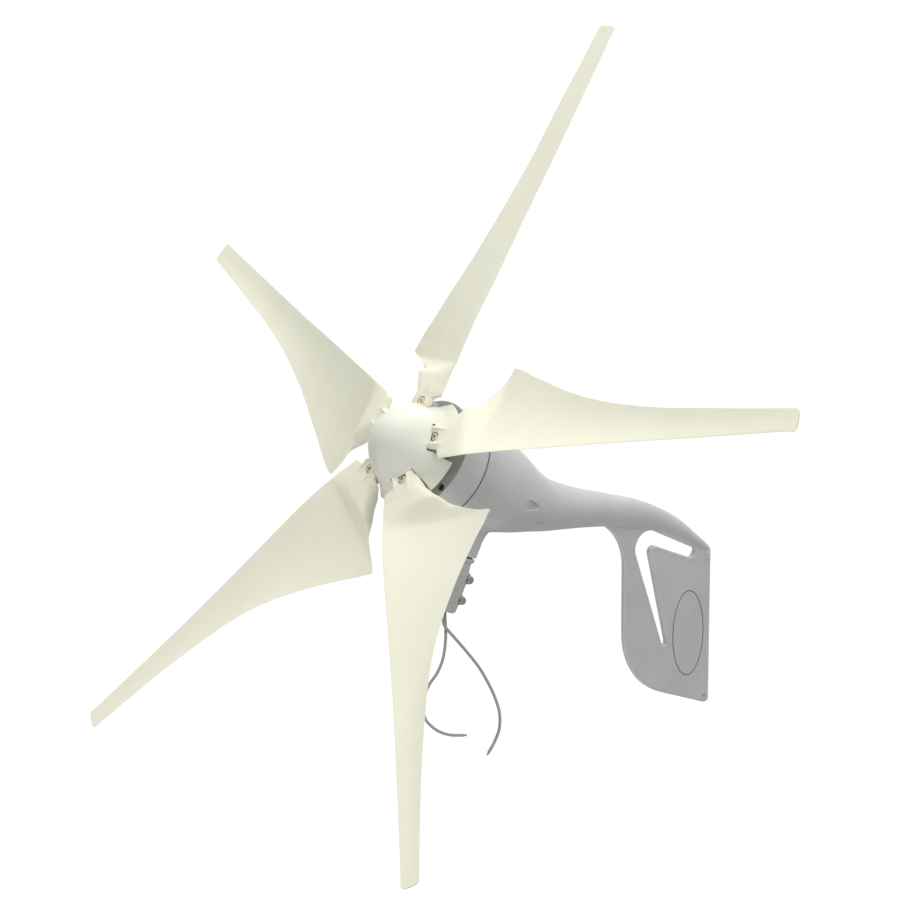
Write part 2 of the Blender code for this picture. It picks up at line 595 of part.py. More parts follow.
# Blade sections by distance from the rotor axis: leading edge across and back, trailing edge
# across and back, thickness, and how far the middle bows back. Across is positive towards the
# leading side. Under the nose cone's edge the root is a narrow tongue.
BLADE = [
    (0.0340, 0.0150, -0.0214, -0.0155, -0.0214, 0.0090, 0.0000),
    (0.0540, 0.0160, -0.0215, -0.0166, -0.0211, 0.0088, 0.0000),
    (0.0580, 0.0163, -0.0216, -0.0178, -0.0172, 0.0080, 0.0000),
    (0.0620, 0.0166, -0.0217, -0.0184, -0.0098, 0.0074, 0.0000),
    (0.0655, 0.0180, -0.0219, -0.0188, -0.0048, 0.0070, 0.0000),
    (0.0678, 0.0240, -0.0223, -0.0194, -0.0032, 0.0067, 0.0000),
    (0.0700, 0.0296, -0.0228, -0.0204, -0.0014, 0.0066, 0.0000),
    (0.0725, 0.0307, -0.0233, -0.0222, 0.0002, 0.0066, 0.0000),
    (0.0780, 0.0308, -0.0238, -0.0272, 0.0024, 0.0064, 0.0000),
    (0.0880, 0.0310, -0.0246, -0.0345, 0.0052, 0.0062, 0.0005),
    (0.0980, 0.0311, -0.0252, -0.0470, 0.0074, 0.0060, 0.0015),
    (0.1080, 0.0312, -0.0257, -0.0625, 0.0064, 0.0060, 0.0035),
    (0.1150, 0.0312, -0.0260, -0.0752, 0.0110, 0.0059, 0.0060),
    (0.1205, 0.0312, -0.0262, -0.0890, 0.0155, 0.0058, 0.0085),
    (0.1255, 0.0312, -0.0264, -0.1045, 0.0168, 0.0057, 0.0105),
    (0.1340, 0.0311, -0.0266, -0.1030, 0.0145, 0.0056, 0.0110),
    (0.1450, 0.0310, -0.0267, -0.0992, 0.0125, 0.0056, 0.0108),
    (0.1550, 0.0308, -0.0268, -0.0942, 0.0100, 0.0055, 0.0105),
    (0.1800, 0.0302, -0.0262, -0.0822, 0.0055, 0.0053, 0.0092),
    (0.2100, 0.0296, -0.0240, -0.0690, 0.0003, 0.0050, 0.0078),
    (0.2400, 0.0288, -0.0220, -0.0564, -0.0031, 0.0048, 0.0066),
    (0.2800, 0.0276, -0.0197, -0.0424, -0.0074, 0.0046, 0.0056),
    (0.3300, 0.0260, -0.0168, -0.0298, -0.0098, 0.0043, 0.0046),
    (0.4000, 0.0249, -0.0130, -0.0194, -0.0097, 0.0040, 0.0036),
    (0.4700, 0.0240, -0.0100, -0.0136, -0.0098, 0.0036, 0.0026),
    (0.5400, 0.0231, -0.0075, -0.0088, -0.0080, 0.0032, 0.0018),
    (0.5880, 0.0227, -0.0062, -0.0063, -0.0066, 0.0029, 0.0012),
    (TIP_RADIUS, 0.0238, -0.0058, -0.0056, -0.0062, 0.0026, 0.0010),
]
# Near the root the trailing side folds back: where the fold's corner is, across and back.
FOLD = [
    (0.0340, -0.0080, -0.0214), (0.0540, -0.0120, -0.0214), (0.0580, -0.0175, -0.0222),
    (0.0620, -0.0218, -0.0228), (0.0655, -0.0238, -0.0231), (0.0700, -0.0262, -0.0231),
    (0.0780, -0.0335, -0.0222), (0.0880, -0.0436, -0.0192), (0.0980, -0.0550, -0.0140),
    (0.1080, -0.0680, -0.0030), (0.1150, -0.0770, 0.0080), (0.1205, -0.0890, 0.0140),
]
# How far each blade's tip sits from its even place in the disc: along its chord, then downwind.
# The moulded blades flex and creep, and the bend grows outward from the root.
BLADE_BENDS = [(-0.0094, -0.0114), (0.0160, 0.0090), (0.0012, -0.0010), (-0.0037, 0.0041), (-0.0044, -0.0008)]
BEND_START = 0.120


def fade(value, start, end):
    """0 before start, 1 after end, smoothly between."""
    t = min(1.0, max(0.0, (value - start) / (end - start)))
    return t * t * (3 - 2 * t)


def folded(radius):
    return 1 - fade(radius, 0.094, 0.116)


def camber(radius, t):
    """A point on a section's middle line: 0 at the leading edge, 1 at the trailing edge."""
    xl, yl, xt, yt, thick, bow = spread(BLADE, radius)
    lead, trail = Vector((xl, yl)), Vector((xt, yt))
    along = (trail - lead).normalized()
    back = Vector((along.y, -along.x))
    point = lead.lerp(trail, t) + back * bow * 4 * t * (1 - t)
    share = folded(radius)
    if share > 0:
        a, b, c = (1 - t) ** 2, 4.4 * t * (1 - t), t * t
        bent = (lead * a + Vector(spread(FOLD, radius)) * b + trail * c) / (a + b + c)
        point = point.lerp(bent, share)
    return point


def blade_section(radius, points=6):
    """Points round one section, from the leading edge over the back to the trailing edge."""
    thick = spread(BLADE, radius)[4]
    flat = min(1.0, max(0.0, (0.085 - radius) / 0.02))
    rows = {1: [], -1: []}
    for face in (1, -1):
        for k in range(points):
            t = 0.5 - 0.5 * cos(pi * k / (points - 1))
            blade_like = 2.2 * sqrt(t) * (1 - t) ** 0.8 * 0.62 + 0.10
            half = thick / 2 * min(1.0, flat + (1 - flat) * min(1.0, blade_like))
            half *= 1 - 0.45 * fade(t, 0.15, 0.60) * fade(radius, 0.056, 0.062) * folded(radius)
            if k in (0, points - 1):
                half *= 0.55 if flat > 0.5 else 0.35
            run = camber(radius, min(1.0, t + 0.01)) - camber(radius, max(0.0, t - 0.01))
            across = Vector((run.y, -run.x)).normalized()
            point = camber(radius, t) + across * half * face
            rows[face].append(Vector((point.x, point.y, radius)))
    return rows[1] + rows[-1][::-1]


radii = [row[0] for row in BLADE]
SCREW_RADII = (0.0565, 0.0410)


def blade_mesh(number):
    """One blade's finished mesh: its sections, bent outward of the root, with the two screw wells."""
    chordwise, downwind = BLADE_BENDS[number]
    rings = []
    for radius in radii:
        reach = max(0.0, radius - BEND_START) / (TIP_RADIUS - BEND_START)
        shift = Vector((chordwise * reach, downwind * reach, 0.0))
        rings.append([point + shift for point in blade_section(radius)])
    pattern = loft(f"blade_pattern_{number + 1}", rings)
    for well_number, r in enumerate(SCREW_RADII):
        tag = f"{number + 1}_{well_number + 1}"
        well = rod(f"blade_well_{tag}", 0.0058, (0, -0.030, r), (0, -0.0205, r), sides=12)
        hole = rod(f"blade_hole_{tag}", 0.0033, (0, -0.022, r), (0, -0.015, r), sides=10)
        boolean(pattern, well)
        boolean(pattern, hole)
    made = smooth(bake(pattern), 45)
    made.materials.clear()
    made.materials.append(IVORY)
    hide(pattern)
    return made


# The nose cone's notch round each root, across and out from the axis.
NOTCH = [
    (-0.0178, 0.0440), (-0.0184, 0.0545), (-0.0214, 0.0620), (-0.0226, 0.0680), (-0.0245, 0.0900),
    (0.0275, 0.0900), (0.0242, 0.0680), (0.0226, 0.0640), (0.0184, 0.0545), (0.0178, 0.0440),
]

for number in range(BLADES):
    a = BLADE_PHASE + 2 * pi * number / BLADES
    blade = bpy.data.objects.new(f"blade_{number + 1}", blade_mesh(number))
    TURBINE.objects.link(blade)
    blade.parent = ROTOR
    blade.rotation_euler = (0.0, a, 0.0)
    notch = loft(f"spinner_notch_{number + 1}", [
        [Vector((x, s, h)) for x, h in NOTCH] for s in (-0.0262, 0.0100)
    ], parent=ROTOR)
    notch.rotation_euler = (0.0, a, 0.0)
    boolean(spinner, notch)
    for place, r in zip(("outer", "inner"), SCREW_RADII):
        x, h = r * sin(a), r * cos(a)
        boolean(hub, rod(f"hub_hole_{place}_{number + 1}", 0.0034, (x, -0.020, h), (x, -0.004, h), parent=ROTOR, sides=8))
        screw = turned(f"blade_screw_{place}_{number + 1}", [
            (0.0, -0.0220), (0.0027, -0.0220), (0.0027, -0.0252), (0.0048, -0.0252),
            (0.0053, -0.0246), (0.0053, -0.0208), (0.0030, -0.0208), (0.0030, -0.0088),
            (0.0, -0.0088),
        ], STEEL, ROTOR, steps=12, along="AXLE")
        screw.location = (x, 0.0, h)


# ---------------------------------------------------------------- loose ends of the two leads
def lead(name, route):
    """A free lead: a smooth curve through its route, as a tube."""
    knots = [Vector(p) for p in route]
    points = []
    for k in range(len(knots) - 1):
        before, a, b = knots[max(k - 1, 0)], knots[k], knots[k + 1]
        after = knots[min(k + 2, len(knots) - 1)]
        pieces = max(1, round((b - a).length / (2.6 * LEAD_D)))
        for i in range(pieces):
            t = i / pieces
            points.append(0.5 * (
                2 * a + (b - before) * t + (2 * before - 5 * a + 4 * b - after) * t**2
                + (3 * a - before - 3 * b + after) * t**3
            ))
    points.append(knots[-1])
    curve = bpy.data.curves.new(name, "CURVE")
    curve.dimensions = "3D"
    curve.bevel_depth = LEAD_D / 2
    curve.bevel_resolution = 2
    curve.use_fill_caps = True
    spline = curve.splines.new("POLY")
    spline.points.add(len(points) - 1)
    for point, place in zip(spline.points, points):
        point.co = (*place, 1.0)
    made = bpy.data.objects.new(name, curve)
    TURBINE.objects.link(made)
    curve.materials.append(WIRE)
    return made


def sideways(across, depth, z):
    """A place beside the yaw axis: across towards +X+Y, depth towards the nose on the right."""
    return (0.645 * across + 0.764 * depth, 0.764 * across - 0.645 * depth, z)


LEAD_1 = [
    sideways(0.0020, -0.0010, 0.0500), sideways(0.0040, -0.0010, 0.0420),
    sideways(0.0095, -0.0010, 0.0280), sideways(0.0155, -0.0008, 0.0120),
    sideways(0.0200, -0.0004, -0.0020), sideways(0.0262, 0.0000, -0.0164),
    sideways(0.0320, 0.0010, -0.0310), sideways(0.0370, 0.0020, -0.0490),
    sideways(0.0390, 0.0030, -0.0640), sideways(0.0380, 0.0050, -0.0800),
    sideways(0.0340, 0.0070, -0.0950), sideways(0.0330, 0.0080, -0.1120),
    sideways(0.0370, 0.0080, -0.1280), sideways(0.0450, 0.0070, -0.1400),
    sideways(0.0560, 0.0060, -0.1460), sideways(0.0680, 0.0040, -0.1490),
    sideways(0.0830, 0.0020, -0.1480), sideways(0.0988, 0.0000, -0.1425),
]
LEAD_2 = [
    sideways(0.0000, 0.0022, 0.0500), sideways(0.0030, 0.0042, 0.0410),
    sideways(0.0090, 0.0050, 0.0260), sideways(0.0150, 0.0054, 0.0100),
    sideways(0.0195, 0.0056, -0.0060), sideways(0.0245, 0.0058, -0.0170),
    sideways(0.0330, 0.0056, -0.0230), sideways(0.0450, 0.0050, -0.0295),
    sideways(0.0640, 0.0040, -0.0400), sideways(0.0860, 0.0030, -0.0535),
    sideways(0.1060, 0.0020, -0.0700), sideways(0.1215, 0.0010, -0.0860),
    sideways(0.1320, 0.0000, -0.1010), sideways(0.1380, 0.0000, -0.1180),
    sideways(0.1385, 0.0000, -0.1350), sideways(0.1360, 0.0000, -0.1530),
]
for number, route in enumerate((LEAD_1, LEAD_2), 1):
    lead(f"lead_wire_{number}", route)
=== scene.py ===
"""Looks of the small wind turbine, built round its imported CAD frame.

Metres, +Z up along the yaw axis, the nose points to -Y. The rotor axis leans back by TILT."""

import json
from math import atan2, cos, pi, radians, sin, sqrt, tan

import bmesh
import bpy
from mathutils import Matrix, Vector


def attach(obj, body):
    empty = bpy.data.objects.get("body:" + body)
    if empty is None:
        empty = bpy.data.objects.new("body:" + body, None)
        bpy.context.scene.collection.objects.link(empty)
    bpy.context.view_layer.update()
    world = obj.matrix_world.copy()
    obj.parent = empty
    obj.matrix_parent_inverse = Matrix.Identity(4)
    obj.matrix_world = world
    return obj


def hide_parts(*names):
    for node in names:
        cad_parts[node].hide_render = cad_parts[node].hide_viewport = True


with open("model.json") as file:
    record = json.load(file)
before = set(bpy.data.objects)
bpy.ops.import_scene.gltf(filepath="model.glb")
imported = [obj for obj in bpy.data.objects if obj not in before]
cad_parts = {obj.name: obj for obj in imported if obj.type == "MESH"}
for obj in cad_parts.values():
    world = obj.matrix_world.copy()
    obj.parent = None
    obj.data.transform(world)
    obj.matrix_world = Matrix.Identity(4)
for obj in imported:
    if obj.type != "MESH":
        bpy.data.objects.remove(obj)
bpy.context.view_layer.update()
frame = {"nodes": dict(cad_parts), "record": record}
scene = bpy.context.scene

TILT = radians(10.0)
HUB = Vector((0.0, -0.116, 0.183))
AXLE = Matrix.Translation(HUB) @ Matrix.Rotation(-TILT, 4, "X")
BLADES = 5
BLADE_PHASE = radians(-3.4)
BLADE_TURNS = [Matrix.Rotation(BLADE_PHASE + 2 * pi * k / BLADES, 4, "Y") for k in range(BLADES)]
TIP_RADIUS = 0.600
GAP = 0.0003  # clearance between neighbouring parts

# ---------------------------------------------------------------- camera
camera = bpy.data.objects.new("camera", bpy.data.cameras.new("camera"))
scene.collection.objects.link(camera)
scene.camera = camera
camera.data.sensor_width = 36.0
camera.data.lens = 115.72
camera.data.clip_start, camera.data.clip_end = 0.1, 400.0
CAMERA_RIGHT = Vector((0.59834, 0.72166, 0.34814))
CAMERA_UP = Vector((-0.24349, -0.25018, 0.93708))
CAMERA_BACK = Vector((0.76335, -0.64546, 0.02603))
CAMERA_PLACE = Vector((2.8079, -2.4349, 0.2923))
turn = Matrix((CAMERA_RIGHT, CAMERA_UP, CAMERA_BACK)).transposed().to_4x4()
camera.matrix_world = Matrix.Translation(CAMERA_PLACE) @ turn


# ---------------------------------------------------------------- shaping helpers
def piece(name, mesh, mat=None, body=None, replaces=()):
    """A finished piece: its mesh is already in the row frame."""
    made = bpy.data.objects.new(name, mesh)
    scene.collection.objects.link(made)
    if mat:
        mesh.materials.clear()
        mesh.materials.append(mat)
    if body:
        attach(made, body)
    if replaces:
        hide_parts(*replaces)
    return made


def polar(radius, angle):
    return radius * cos(angle), radius * sin(angle)


def panel(shape, corners):
    """One face through the corners, without repeats, unless fewer than three are left."""
    unique = [v for k, v in enumerate(corners) if v not in corners[:k]]
    if len(unique) > 2:
        shape.faces.new(unique)


def close_round(shape, rows):
    """Faces between neighbouring rows, the last joined to the first."""
    count = len(rows[0])
    for near, far in zip(rows, rows[1:] + rows[:1]):
        for i in range(count):
            j = (i + 1) % count
            panel(shape, [near[i], near[j], far[j], far[i]])


def finished(shape, name, place=None, outward=True):
    """The mesh of a working shape, with its faces turned outward and moved to its place."""
    if outward:
        bmesh.ops.recalc_face_normals(shape, faces=shape.faces)
    if place:
        shape.transform(place)
    mesh = bpy.data.meshes.new(name)
    shape.to_mesh(mesh)
    shape.free()
    return mesh


def grid_mesh(name, rows, caps=True, place=None):
    """A skin round rows of equal point counts. A row of one point closes to a tip."""
    shape = bmesh.new()
    made = [[shape.verts.new(p) for p in row] for row in rows]
    for near, far in zip(made, made[1:]):
        count = max(len(near), len(far))
        for i in range(count):
            j = (i + 1) % count
            panel(shape, [
                near[i % len(near)], near[j % len(near)], far[j % len(far)], far[i % len(far)],
            ])
    if caps:
        for row in (made[0], made[-1]):
            if len(row) > 2:
                shape.faces.new(row)
    return finished(shape, name, place)


def lathe(name, profile, steps=96, place=None, along="Y"):
    """A turned closed solid from (radius, distance) points round its section, about Y or Z."""
    rows = []
    for k in range(steps):
        c, s = polar(1.0, 2 * pi * k / steps)
        rows.append([
            Vector((r * s, d, r * c)) if along == "Y" else Vector((r * c, r * s, d))
            for r, d in profile
        ])
    shape = bmesh.new()
    poles = {i: shape.verts.new(rows[0][i]) for i, (r, d) in enumerate(profile) if r < 1e-7}
    close_round(shape, [
        [poles[i] if i in poles else shape.verts.new(p) for i, p in enumerate(row)] for row in rows
    ])
    return finished(shape, name, place)


def helper(name, mesh):
    """An object that only serves a modifier."""
    made = bpy.data.objects.new(name, mesh)
    scene.collection.objects.link(made)
    return made


def bake(obj):
    """Applies an object's modifiers and returns the mesh; the object and its cutters go."""
    bpy.context.view_layer.update()
    graph = bpy.context.evaluated_depsgraph_get()
    mesh = bpy.data.meshes.new_from_object(obj.evaluated_get(graph))
    others = [m.object for m in obj.modifiers if m.type == "BOOLEAN"]
    for other in {o for o in others if o} | {obj}:
        bpy.data.objects.remove(other)
    return mesh


def join_cut(mesh, unions=(), cuts=()):
    """The mesh with others joined to it and others cut from it."""
    base = helper("base", mesh)
    for operation, group in (("UNION", unions), ("DIFFERENCE", cuts)):
        for other in group:
            modifier = base.modifiers.new(operation, "BOOLEAN")
            modifier.operation = operation
            modifier.object = helper("tool", other)
    return bake(base)


def common(mesh, other):
    """What two meshes share."""
    base = helper("base", mesh)
    modifier = base.modifiers.new("common", "BOOLEAN")
    modifier.operation = "INTERSECT"
    modifier.object = helper("tool", other)
    return bake(base)


def soften(mesh, voxel, passes):
    """The mesh rebuilt evenly and smoothed, as a casting's fillets are."""
    base = helper("base", mesh)
    remesh = base.modifiers.new("even", "REMESH")
    remesh.mode = "VOXEL"
    remesh.voxel_size = voxel
    relax = base.modifiers.new("relax", "SMOOTH")
    relax.factor = 0.5
    relax.iterations = passes
    return bake(base)


def bevelled(mesh, width):
    """The mesh with its sharper edges rounded off."""
    base = helper("base", mesh)
    bevel = base.modifiers.new("edges", "BEVEL")
    bevel.width = width
    bevel.segments = 2
    bevel.limit_method = "ANGLE"
    bevel.angle_limit = radians(40)
    bevel.use_clamp_overlap = True
    return bake(base)


def smooth(mesh, degrees):
    """Smooth shading, broken along edges sharper than that angle."""
    mesh.shade_smooth()
    mesh.set_sharp_from_angle(angle=radians(degrees))
    return mesh


def block(low, high, place=None):
    """A box between two opposite corners."""
    shape = bmesh.new()
    bmesh.ops.create_cube(shape, size=1.0)
    low, high = Vector(low), Vector(high)
    bmesh.ops.scale(shape, vec=high - low, verts=shape.verts)
    bmesh.ops.translate(shape, vec=(low + high) / 2, verts=shape.verts)
    return finished(shape, "block", place, outward=False)


def rod(radius, start, end, sides, place=None):
    """A straight round or many-sided bar between two points."""
    start, end = Vector(start), Vector(end)
    shape = bmesh.new()
    bmesh.ops.create_cone(
        shape, cap_ends=True, segments=sides, radius1=radius, radius2=radius,
        depth=(end - start).length,
    )
    turned = Vector((0, 0, 1)).rotation_difference(end - start).to_matrix().to_4x4()
    shape.transform(Matrix.Translation((start + end) / 2) @ turned)
    return finished(shape, "rod", place, outward=False)


def merged(meshes):
    """Several meshes in one, without joining their surfaces."""
    shape = bmesh.new()
    for mesh in meshes:
        shape.from_mesh(mesh)
    return finished(shape, "merged", outward=False)


def filleted(corners):
    """A polygon's points with each (u, v, radius) corner rounded, in steps of 5 degrees."""
    points = []
    for i, (u, v, radius) in enumerate(corners):
        here = Vector((u, v))
        before = (Vector(corners[i - 1][:2]) - here).normalized()
        after = (Vector(corners[(i + 1) % len(corners)][:2]) - here).normalized()
        if radius <= 0:
            points.append(here)
            continue
        half = before.angle(after) / 2
        centre = here + (before + after).normalized() * radius / sin(half)
        first = here + before * radius / tan(half) - centre
        sweep = pi - 2 * half
        side = -1 if before.x * after.y - before.y * after.x > 0 else 1
        count = max(2, round(sweep / radians(5)))
        for k in range(count + 1):
            a = side * sweep * k / count
            points.append(centre + Vector((
                first.x * cos(a) - first.y * sin(a), first.x * sin(a) + first.y * cos(a),
            )))
    return points


def plate(outline, low, high, flat="YZ"):
    """A flat outline with thickness from low to high, in the YZ plane along X or in XY along Z."""
    shape = bmesh.new()
    rows = [
        [shape.verts.new((level, u, v) if flat == "YZ" else (u, v, level)) for u, v in outline]
        for level in (low, high)
    ]
    count = len(outline)
    for i in range(count):
        j = (i + 1) % count
        shape.faces.new((rows[0][i], rows[0][j], rows[1][j], rows[1][i]))
    shape.faces.new(rows[0])
    shape.faces.new(rows[1])
    return finished(shape, "plate")


def spread(table, where):
    """Read a table of (position, value, ...) rows at one position, along a smooth curve."""
    last = len(table) - 1
    k = max(i for i in range(last) if table[i][0] <= where or i == 0)
    a, b = table[k], table[k + 1]
    t = (where - a[0]) / (b[0] - a[0])
    before, after = table[max(k - 1, 0)], table[min(k + 2, last)]
    width = b[0] - a[0]
    row = []
    for i in range(1, len(a)):
        m0 = (b[i] - before[i]) / (b[0] - before[0]) * width
        m1 = (after[i] - a[i]) / (after[0] - a[0]) * width
        h = (2 * t**3 - 3 * t**2 + 1, t**3 - 2 * t**2 + t, -2 * t**3 + 3 * t**2, t**3 - t**2)
        row.append(h[0] * a[i] + h[1] * m0 + h[2] * b[i] + h[3] * m1)
    return row


def fade(value, start, end):
    """0 before start, 1 after end, smoothly between."""
    t = min(1.0, max(0.0, (value - start) / (end - start)))
    return t * t * (3 - 2 * t)


# ---------------------------------------------------------------- materials
def tinted(colour, factor):
    return tuple(min(1.0, c * factor) for c in colour)


def map_range(nodes, links, source, low, high, to_low, to_high):
    """A value between low and high mapped onto another range."""
    made = nodes.new("ShaderNodeMapRange")
    ends = {"From Min": low, "From Max": high, "To Min": to_low, "To Max": to_high}
    for socket, value in ends.items():
        made.inputs[socket].default_value = value
    links.new(source, made.inputs["Value"])
    return made.outputs["Result"]


class Look:
    """A node material for one finish, with textures in the object's own coordinates."""

    def __init__(self, name, colour, roughness, metallic=0.0, specular=0.5, coat=0.0):
        self.material = bpy.data.materials.new(name)
        self.material.use_nodes = True
        self.nodes, self.links = self.material.node_tree.nodes, self.material.node_tree.links
        self.shader = self.nodes["Principled BSDF"]
        self.shader.inputs["Base Color"].default_value = (*colour, 1.0)
        self.shader.inputs["Roughness"].default_value = roughness
        self.shader.inputs["Metallic"].default_value = metallic
        self.shader.inputs["Specular IOR Level"].default_value = specular
        self.shader.inputs["Coat Weight"].default_value = coat
        self.place = self.nodes.new("ShaderNodeTexCoord").outputs["Object"]
        self.heights = []

    def stretched(self, scales):
        mapping = self.nodes.new("ShaderNodeMapping")
        mapping.inputs["Scale"].default_value = scales
        self.links.new(self.place, mapping.inputs["Vector"])
        return mapping.outputs["Vector"]

    def noise(self, scale, detail=4.0, roughness=0.55, place=None):
        made = self.nodes.new("ShaderNodeTexNoise")
        made.inputs["Scale"].default_value = scale
        made.inputs["Detail"].default_value = detail
        made.inputs["Roughness"].default_value = roughness
        self.links.new(place or self.place, made.inputs["Vector"])
        return made.outputs["Fac"]

    def cells(self, scale):
        made = self.nodes.new("ShaderNodeTexVoronoi")
        made.inputs["Scale"].default_value = scale
        self.links.new(self.place, made.inputs["Vector"])
        return made.outputs["Distance"]

    def wave(self, scale, direction, distortion):
        made = self.nodes.new("ShaderNodeTexWave")
        made.bands_direction = direction
        made.inputs["Scale"].default_value = scale
        made.inputs["Distortion"].default_value = distortion
        self.links.new(self.place, made.inputs["Vector"])
        return made.outputs["Fac"]

    def ramp(self, source, low, high, dark, light):
        """Maps a value between low and high onto two greys or two colours."""
        made = self.nodes.new("ShaderNodeValToRGB")
        first, second = made.color_ramp.elements
        first.position, second.position = low, high
        first.color = (*dark, 1.0) if hasattr(dark, "__len__") else (dark, dark, dark, 1.0)
        second.color = (*light, 1.0) if hasattr(light, "__len__") else (light, light, light, 1.0)
        self.links.new(source, made.inputs["Fac"])
        return made.outputs["Color"]

    def mix(self, factor, a, b, blend="MIX"):
        made = self.nodes.new("ShaderNodeMix")
        made.data_type = "RGBA"
        made.blend_type = blend
        first, second = made.inputs[6], made.inputs[7]
        for value, socket in ((factor, made.inputs["Factor"]), (a, first), (b, second)):
            if isinstance(value, bpy.types.NodeSocket):
                self.links.new(value, socket)
            elif hasattr(value, "__len__"):
                socket.default_value = (*value, 1.0)
            else:
                socket.default_value = value
        return made.outputs[2]

    def colour_from(self, socket):
        self.links.new(socket, self.shader.inputs["Base Color"])

    def roughness_from(self, source, low, high, glossy, rough):
        level = self.ramp(source, low, high, glossy, rough)
        self.links.new(level, self.shader.inputs["Roughness"])

    def bump(self, source, strength, distance):
        """Adds a relief of that depth in metres on top of those already there."""
        made = self.nodes.new("ShaderNodeBump")
        made.inputs["Strength"].default_value = strength
        made.inputs["Distance"].default_value = distance
        self.links.new(source, made.inputs["Height"])
        if self.heights:
            self.links.new(self.heights[-1], made.inputs["Normal"])
        self.heights.append(made.outputs["Normal"])
        self.links.new(made.outputs["Normal"], self.shader.inputs["Normal"])
        return self

    def edges(self):
        """How far a place stands proud of its surroundings, on a dense mesh."""
        return self.nodes.new("ShaderNodeNewGeometry").outputs["Pointiness"]


def plain_look(name, colour, roughness, metallic=0.0, grain=600.0, depth=0.00015, vary=0.10):
    """A finish with a fine grain, a slow change of tone and an uneven gloss."""
    look = Look(name, colour, roughness, metallic)
    dark, light = tinted(colour, 1 - vary), tinted(colour, 1 + vary)
    tone = look.ramp(look.noise(18.0, 5.0), 0.3, 0.7, dark, light)
    fine = look.ramp(look.noise(grain * 0.6, 3.0), 0.35, 0.65, 1 - vary * 0.6, 1.0)
    look.colour_from(look.mix(1.0, tone, fine, "MULTIPLY"))
    glossy, rough = max(0.05, roughness - 0.08), roughness + 0.10
    look.roughness_from(look.noise(70.0, 4.0), 0.3, 0.7, glossy, rough)
    return look.bump(look.noise(grain, 3.0), 0.35, depth)


def ivory_look():
    """Moulded blade plastic with faint flow lines."""
    look = Look("ivory_blade_plastic", (0.915, 0.880, 0.722), 0.42, specular=0.45)
    dark, light = (0.900, 0.862, 0.690), (0.925, 0.895, 0.745)
    broad = look.ramp(look.noise(5.0, 3.0), 0.30, 0.70, dark, light)
    flow = look.noise(26.0, 5.0, 0.6, look.stretched((1.0, 1.0, 0.25)))
    streaks = look.ramp(flow, 0.35, 0.70, 0.972, 1.0)
    specks = look.ramp(look.noise(900.0, 2.0), 0.30, 0.42, 0.955, 1.0)
    base = look.mix(1.0, look.mix(1.0, broad, streaks, "MULTIPLY"), specks, "MULTIPLY")
    look.colour_from(base)
    look.roughness_from(look.noise(45.0, 5.0, 0.6), 0.30, 0.72, 0.34, 0.52)
    look.bump(look.noise(9.0, 2.0), 0.25, 0.0008)
    return look.bump(look.noise(1500.0, 2.0), 0.22, 0.00008)


def pearl_look():
    """Pearl plastic with fine flakes under a clear coat."""
    colour = (0.800, 0.785, 0.690)
    look = Look("pearl_nose_plastic", colour, 0.30, specular=0.5, coat=0.25)
    look.shader.inputs["Coat Roughness"].default_value = 0.22
    broad = look.ramp(look.noise(14.0, 3.0), 0.30, 0.70, tinted(colour, 0.965), tinted(colour, 1.03))
    flakes = look.ramp(look.cells(2600.0), 0.10, 0.70, 0.975, 1.0)
    look.colour_from(look.mix(1.0, broad, flakes, "MULTIPLY"))
    look.roughness_from(look.noise(120.0, 4.0), 0.30, 0.70, 0.26, 0.40)
    return look.bump(look.noise(700.0, 2.0), 0.10, 0.00006)


def cast_look(name, colour):
    """A painted casting: orange peel over a slightly uneven wall, rubbed pale at its edges."""
    look = Look(name, colour, 0.48, metallic=0.15, specular=0.5)
    broad = look.ramp(look.noise(9.0, 4.0), 0.30, 0.70, tinted(colour, 0.94), tinted(colour, 1.05))
    specks = look.ramp(look.noise(1300.0, 2.0), 0.28, 0.62, 0.86, 1.0)
    mottled = look.ramp(look.noise(160.0, 5.0, 0.6), 0.30, 0.70, 0.955, 1.0)
    base = look.mix(1.0, look.mix(1.0, broad, specks, "MULTIPLY"), mottled, "MULTIPLY")
    rubbed = look.ramp(look.edges(), 0.515, 0.56, 0.0, 0.55)
    base = look.mix(rubbed, base, tinted(colour, 1.38))
    look.colour_from(base)
    look.roughness_from(look.noise(90.0, 5.0, 0.6), 0.30, 0.70, 0.40, 0.58)
    look.bump(look.noise(55.0, 3.0), 0.20, 0.0008)
    look.bump(look.noise(420.0, 4.0), 0.30, 0.00025)
    return look.bump(look.cells(1500.0), 0.16, 0.00010)


def zinc_look(name, colour, roughness=0.30):
    """Plated steel with cloudy stains."""
    look = Look(name, colour, roughness, metallic=1.0)
    broad = look.ramp(look.noise(240.0, 5.0), 0.30, 0.70, tinted(colour, 0.80), tinted(colour, 1.12))
    stains = look.ramp(look.noise(700.0, 3.0), 0.30, 0.55, 0.80, 1.0)
    look.colour_from(look.mix(1.0, broad, stains, "MULTIPLY"))
    look.roughness_from(look.noise(900.0, 4.0), 0.30, 0.70, roughness - 0.08, roughness + 0.16)
    return look.bump(look.noise(1600.0, 3.0), 0.30, 0.00006)


def layered_look(name, colour, direction, scale, roughness=0.4):
    """Stacked sheets or wound turns: fine regular lines across one direction."""
    look = Look(name, colour, roughness, metallic=0.9)
    lines = look.wave(scale, direction, 0.4)
    look.colour_from(look.ramp(lines, 0.15, 0.75, tinted(colour, 0.55), tinted(colour, 1.12)))
    look.roughness_from(look.noise(400.0), 0.3, 0.7, roughness - 0.08, roughness + 0.12)
    return look.bump(lines, 0.6, 0.0002)


